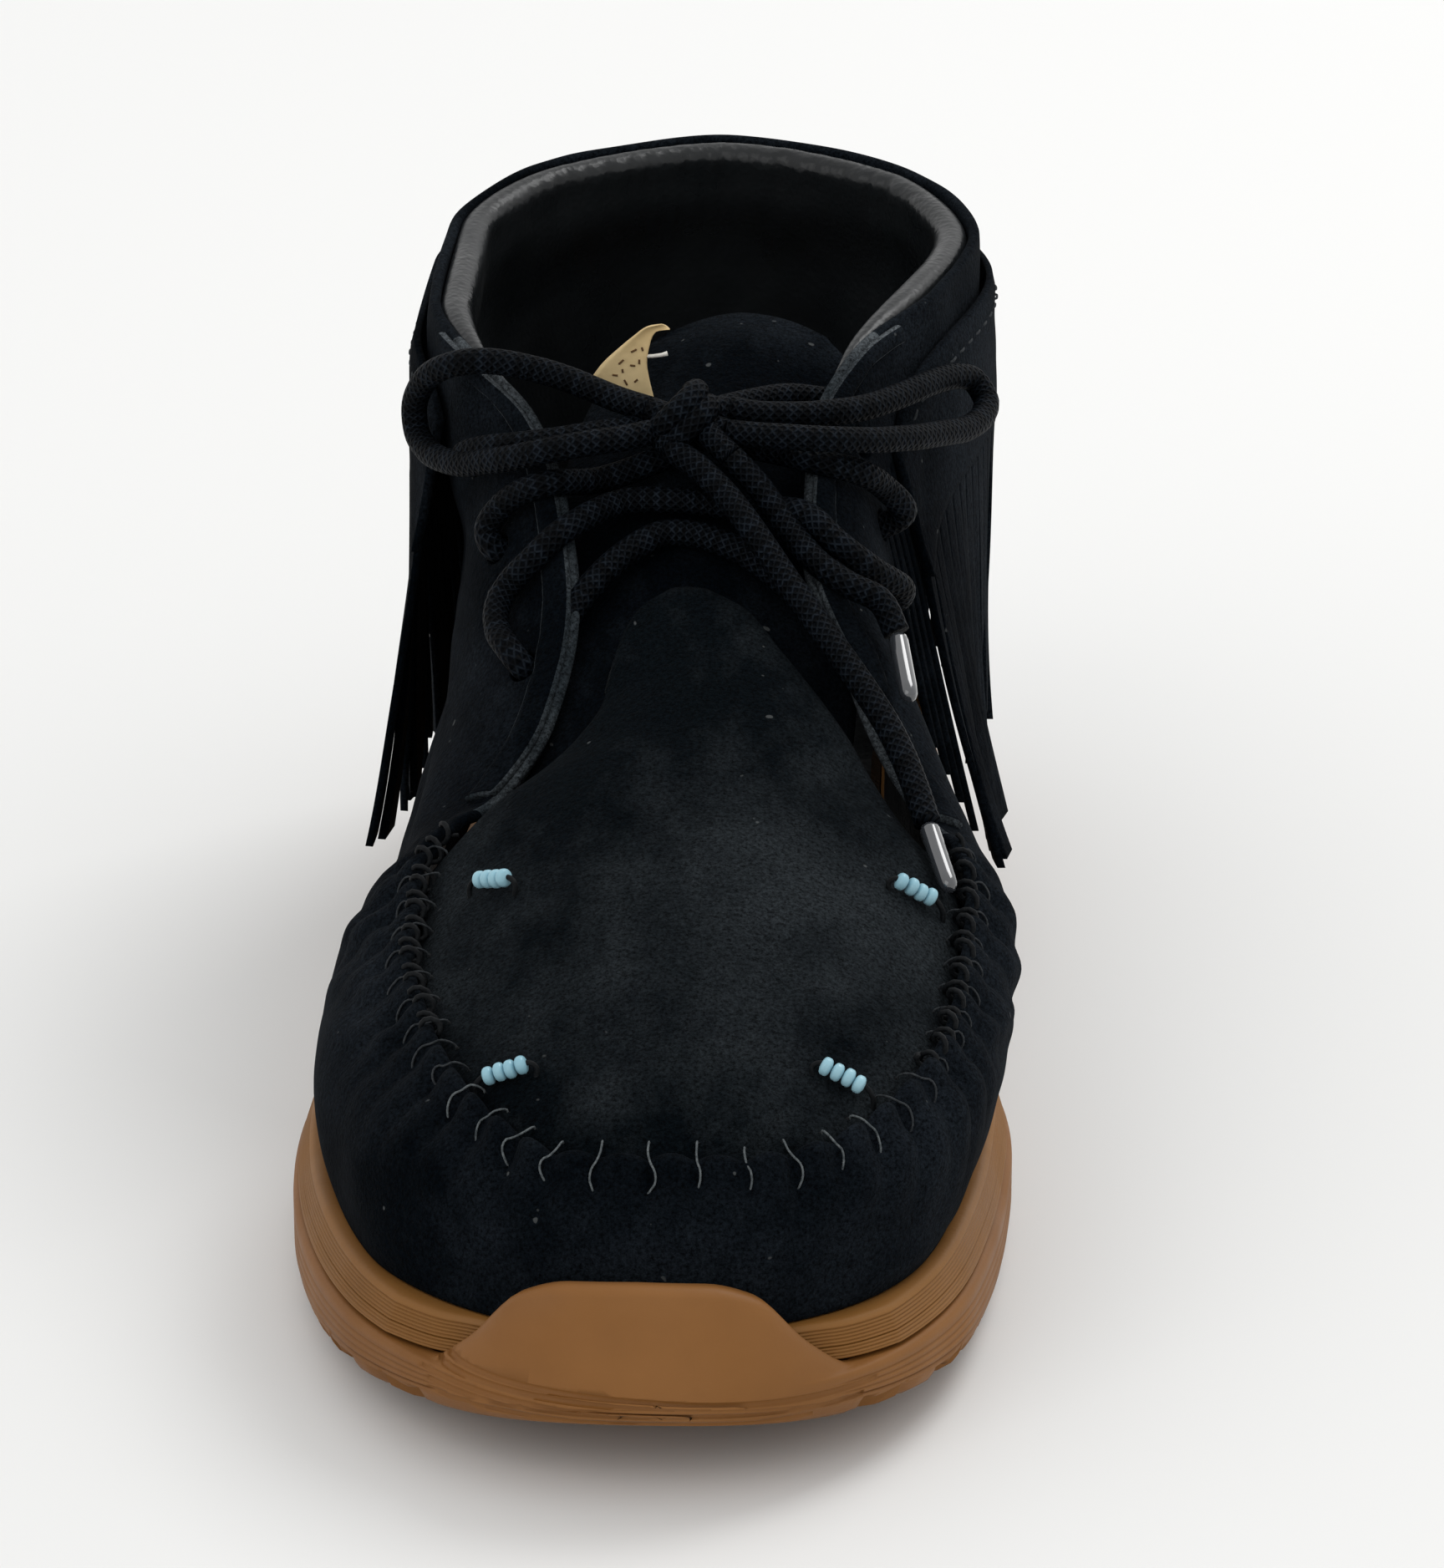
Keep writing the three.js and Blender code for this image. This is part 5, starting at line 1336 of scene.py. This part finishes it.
lace_piece("lace_crossed", [
    [*behind("outer_middle"), *STRAND_OUTER_MIDDLE, *BAR_INNER, [-0.5, 164.5, 101.2]],
    [[-1, 166, 102.6], [8, 164.6, 101.6], [15, 162.6, 100.9], [20.6, 160.6, 100.2],
     *STRAND_INNER_MIDDLE, *behind("inner_middle")[::-1]],
    [[-3, 166.5, 104.2], [3, 170.5, 105], [9, 174.5, 105.3], [15, 178.5, 105], [20.5, 181.5, 103.5]],
    [*behind("outer_top"), *STRAND_OUTER_TOP],
], ["lace_crossings"])


def free_lace(name, node, route):
    obj, path = lace_piece(name, [route], [node]), lace_path(route)
    length = float(lengths_along(path)[-1]) * MM
    metres(route[0])
    metres(path).tolist()


# Knot: one band of the lace wound over the crossing, between the roots of the loops and ends
KNOT_TURNS = 1.6
turns = np.linspace(-0.5, 2 * np.pi * KNOT_TURNS, 40)[:, None]
BAND_WAY, SIDE_WAY = np.array([0.76, 0.24, 0.6]), np.array([0.65, -0.28, -0.7])
TOWARD = np.array([0, -0.927, 0.375])
winding = (KNOT + BAND_WAY * 4.5 * np.cos(turns) + TOWARD * (3.3 * np.sin(turns) + 0.5)
           + SIDE_WAY * np.linspace(-2.5, 2.5, 40)[:, None])
roots = [
    [LOOP_OUTER[0], [-2.5, 163.6, 106.3], [1.5, 162.6, 105.8], [6, 160.2, 105.2]],
    [LOOP_INNER[0], [2.5, 163.6, 107.0], [-2, 162.2, 105.4], [-6.0, 159.8, 104.9]],
    [END_LONG[0], [-4.2, 160, 104.6], [-4.6, 163, 105.2]],
    [END_SHORT[0], [4.6, 157.5, 104.2], [2.6, 160.5, 105.4]],
]
knot = lace_piece("bow_knot", [winding, *roots], ["lace_knot"], LACE / 2 - 0.05)
free_lace("bow_loop_to_outer", "bow_loop_outer", LOOP_OUTER)
free_lace("bow_loop_to_inner", "bow_loop_inner", LOOP_INNER)


def axis_of(node):
    """Middle, direction and length of a long slim node, in the shoe's millimetres."""
    obj = NODES[node]
    points = np.array([obj.matrix_world @ v.co for v in obj.data.vertices]) / MM - SHIFT
    centre = points.mean(0)
    direction = np.linalg.svd(points - centre)[2][0]
    along = (points - centre) @ direction
    return centre + direction * (along.max() + along.min()) / 2, direction, np.ptp(along)


# Aglet sleeves: places along them and their radius
SLEEVE_AT = np.array([-0.5, -0.49, -0.44, 0.3, 0.42, 0.47, 0.5])
SLEEVE_RADIUS = [1.3, 1.5, 1.56, 1.5, 1.38, 1.1, 0.7]
for end, route in (("long", END_LONG), ("short", END_SHORT)):
    middle, direction, length = axis_of(f"aglet_{end}")
    if direction @ (middle - np.array(route[-1])) < 0:
        direction = -direction
    built = Build()
    built.add(*tube(middle + direction * (SLEEVE_AT * length)[:, None], SLEEVE_RADIUS, 20))
    built.piece(f"aglet_sleeve_{end}", AGLET_SKIN, "aglet", [f"aglet_{end}"])
for end, route in (("long", END_LONG), ("short", END_SHORT)):
    free_lace(f"bow_end_{end}", f"lace_end_{end}", route)

# Tag on the tongue: a leaf of leather with a curled tip, plain dots and a short thread
TAG = table("rise left_x left_z right_x right_z curl", [
    [0, -16.4, 107.3, -6.5, 104.1, 0], [0.25, -14.7, 109.6, -7.2, 107, 0.3],
    [0.5, -12.3, 111.9, -7.6, 109.7, 0.5], [0.75, -9.6, 114.2, -7.1, 112.9, 0.7],
    [0.9, -7.6, 115.7, -6.1, 114.9, 1.1], [1, -5.3, 116.4, -3.9, 115.5, 1.9],
])
side_grid, rise_grid = grid(np.linspace(0, 1, 17), np.linspace(0, 1, 31))


def tag_at(side, rise, lift=0.0):
    left_x, left_z, right_x, right_z, curl = columns(TAG, "rise", "left_x left_z right_x right_z curl", rise)
    z = lerp(left_z, right_z, side) - 0.9 * np.sin(np.pi * side) * (1 - rise)
    y = 179.4 + (z - 104) * 0.2 - curl - 0.9 * (1 - side) ** 3 - 0.5 * side ** 4 - lift
    return np.stack([lerp(left_x, right_x, side), y, z], -1)


rim = 0.25 * np.maximum(smoothstep(np.abs(side_grid * 2 - 1), 0.86, 1), smoothstep(rise_grid, 0.95, 1))
tag = closed_sheet(tag_at(side_grid, rise_grid, -rim), tag_at(side_grid, rise_grid, -0.95 + rim))
piece("tag", *tag, TAG_SKIN, "natural_leather", ["tongue_tag"], True)
dots = Build()
for side, rise, turn, reach in (
        (0.3, 0.2, 0.4, 0.05), (0.52, 0.16, 2.2, 0.06), (0.72, 0.22, 0.9, 0.05), (0.28, 0.4, 1.3, 0.07),
        (0.58, 0.42, 0.2, 0.07), (0.74, 0.5, 1.9, 0.05), (0.42, 0.6, 0.7, 0.08), (0.7, 0.66, 2.6, 0.06),
        (0.4, 0.3, 2.0, 0.04)):
    steps = np.linspace(-1, 1, 5)
    path = tag_at(side + reach * math.cos(turn) * steps, rise + 0.6 * reach * math.sin(turn) * steps, 0.03)
    dots.add(*tube(path, 0.17, 6))
dots.piece("tag_dots", TAG_DOTS, "natural_leather")
thread = Build()
thread.add(*tube([[-8.2, 180.6, 110.6], [-6.6, 179.7, 111], [-5.2, 179.4, 111.3], [-4.3, 179.6, 111.5]],
                 [0.3, 0.3, 0.32, 0.4], 8))
thread.piece("tag_thread", WHITE_THREAD, "lace")

# Beads: four glazed beads on a dark thread in each row
BEADS_IN_ROW = 4
bead_at = np.linspace(-0.49, 0.49, 11)
bead_round = np.sqrt(np.clip(1 - np.abs(bead_at / 0.51) ** 3.2, 0.12, 1))
bead_threads = Build()
for k in range(1, 5):
    middle, direction, length = axis_of(f"bead_row_{k}")
    direction = direction if direction[0] > 0 else -direction
    row, bead_length = Build(), length / BEADS_IN_ROW
    for n in range(BEADS_IN_ROW):
        offset = (n - (BEADS_IN_ROW - 1) / 2) * bead_length
        jog = draw.uniform(-0.12, 0.12, 3)
        radius = 1.42 * draw.uniform(0.94, 1.02) * bead_round
        row.add(*tube(middle + jog + direction * (offset + bead_at * bead_length)[:, None], radius, 18))
    row.piece(f"beads_{k}", BEAD_SKIN, "bead", [f"bead_row_{k}"])
    for way in (-direction, direction):
        tip = middle + way * (length / 2 + 1.3)
        below = plug_top(*tip[:2])
        path = curve_points([middle + way * length * 0.3, middle + way * (length / 2 + 0.2),
                             (tip + below) / 2 + way * 0.1, below - [0, 0, 0.8]], 6)
        bead_threads.add(*tube(path, 0.42, 8))
bead_threads.piece("bead_threads", THREAD_DARK, "lace")

# Floor, light and world
floor_look = Shader("floor", 0.6)
floor_look.color((0.8, 0.8, 0.79))
bpy.ops.mesh.primitive_plane_add(size=8, location=(0, 0, 0))
floor = bpy.context.object
floor.name = "floor"
floor.data.materials.append(floor_look.material)
floor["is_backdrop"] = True
world = bpy.data.worlds.new("studio")
bpy.context.scene.world = world
world.use_nodes = True
sky = world.node_tree.nodes["Background"].inputs
sky["Color"].default_value = (1, 1, 1, 1)
sky["Strength"].default_value = 0.84


def lamp(name, place, size, power):
    data = bpy.data.lights.new(name, "AREA")
    data.size, data.energy = size, power
    made = bpy.data.objects.new(name, data)
    made.location = place
    made.rotation_euler = (Vector((0, 0, 0.05)) - Vector(place)).to_track_quat("-Z", "Y").to_euler()
    bpy.context.scene.collection.objects.link(made)


lamp("key", (0.75, 0.9, 1.6), 0.9, 13)
lamp("fill", (-0.9, -1.4, 1.5), 1.6, 7)

low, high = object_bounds()
{"cad": CAD_BOX, "visual": [list(low), list(high)]}
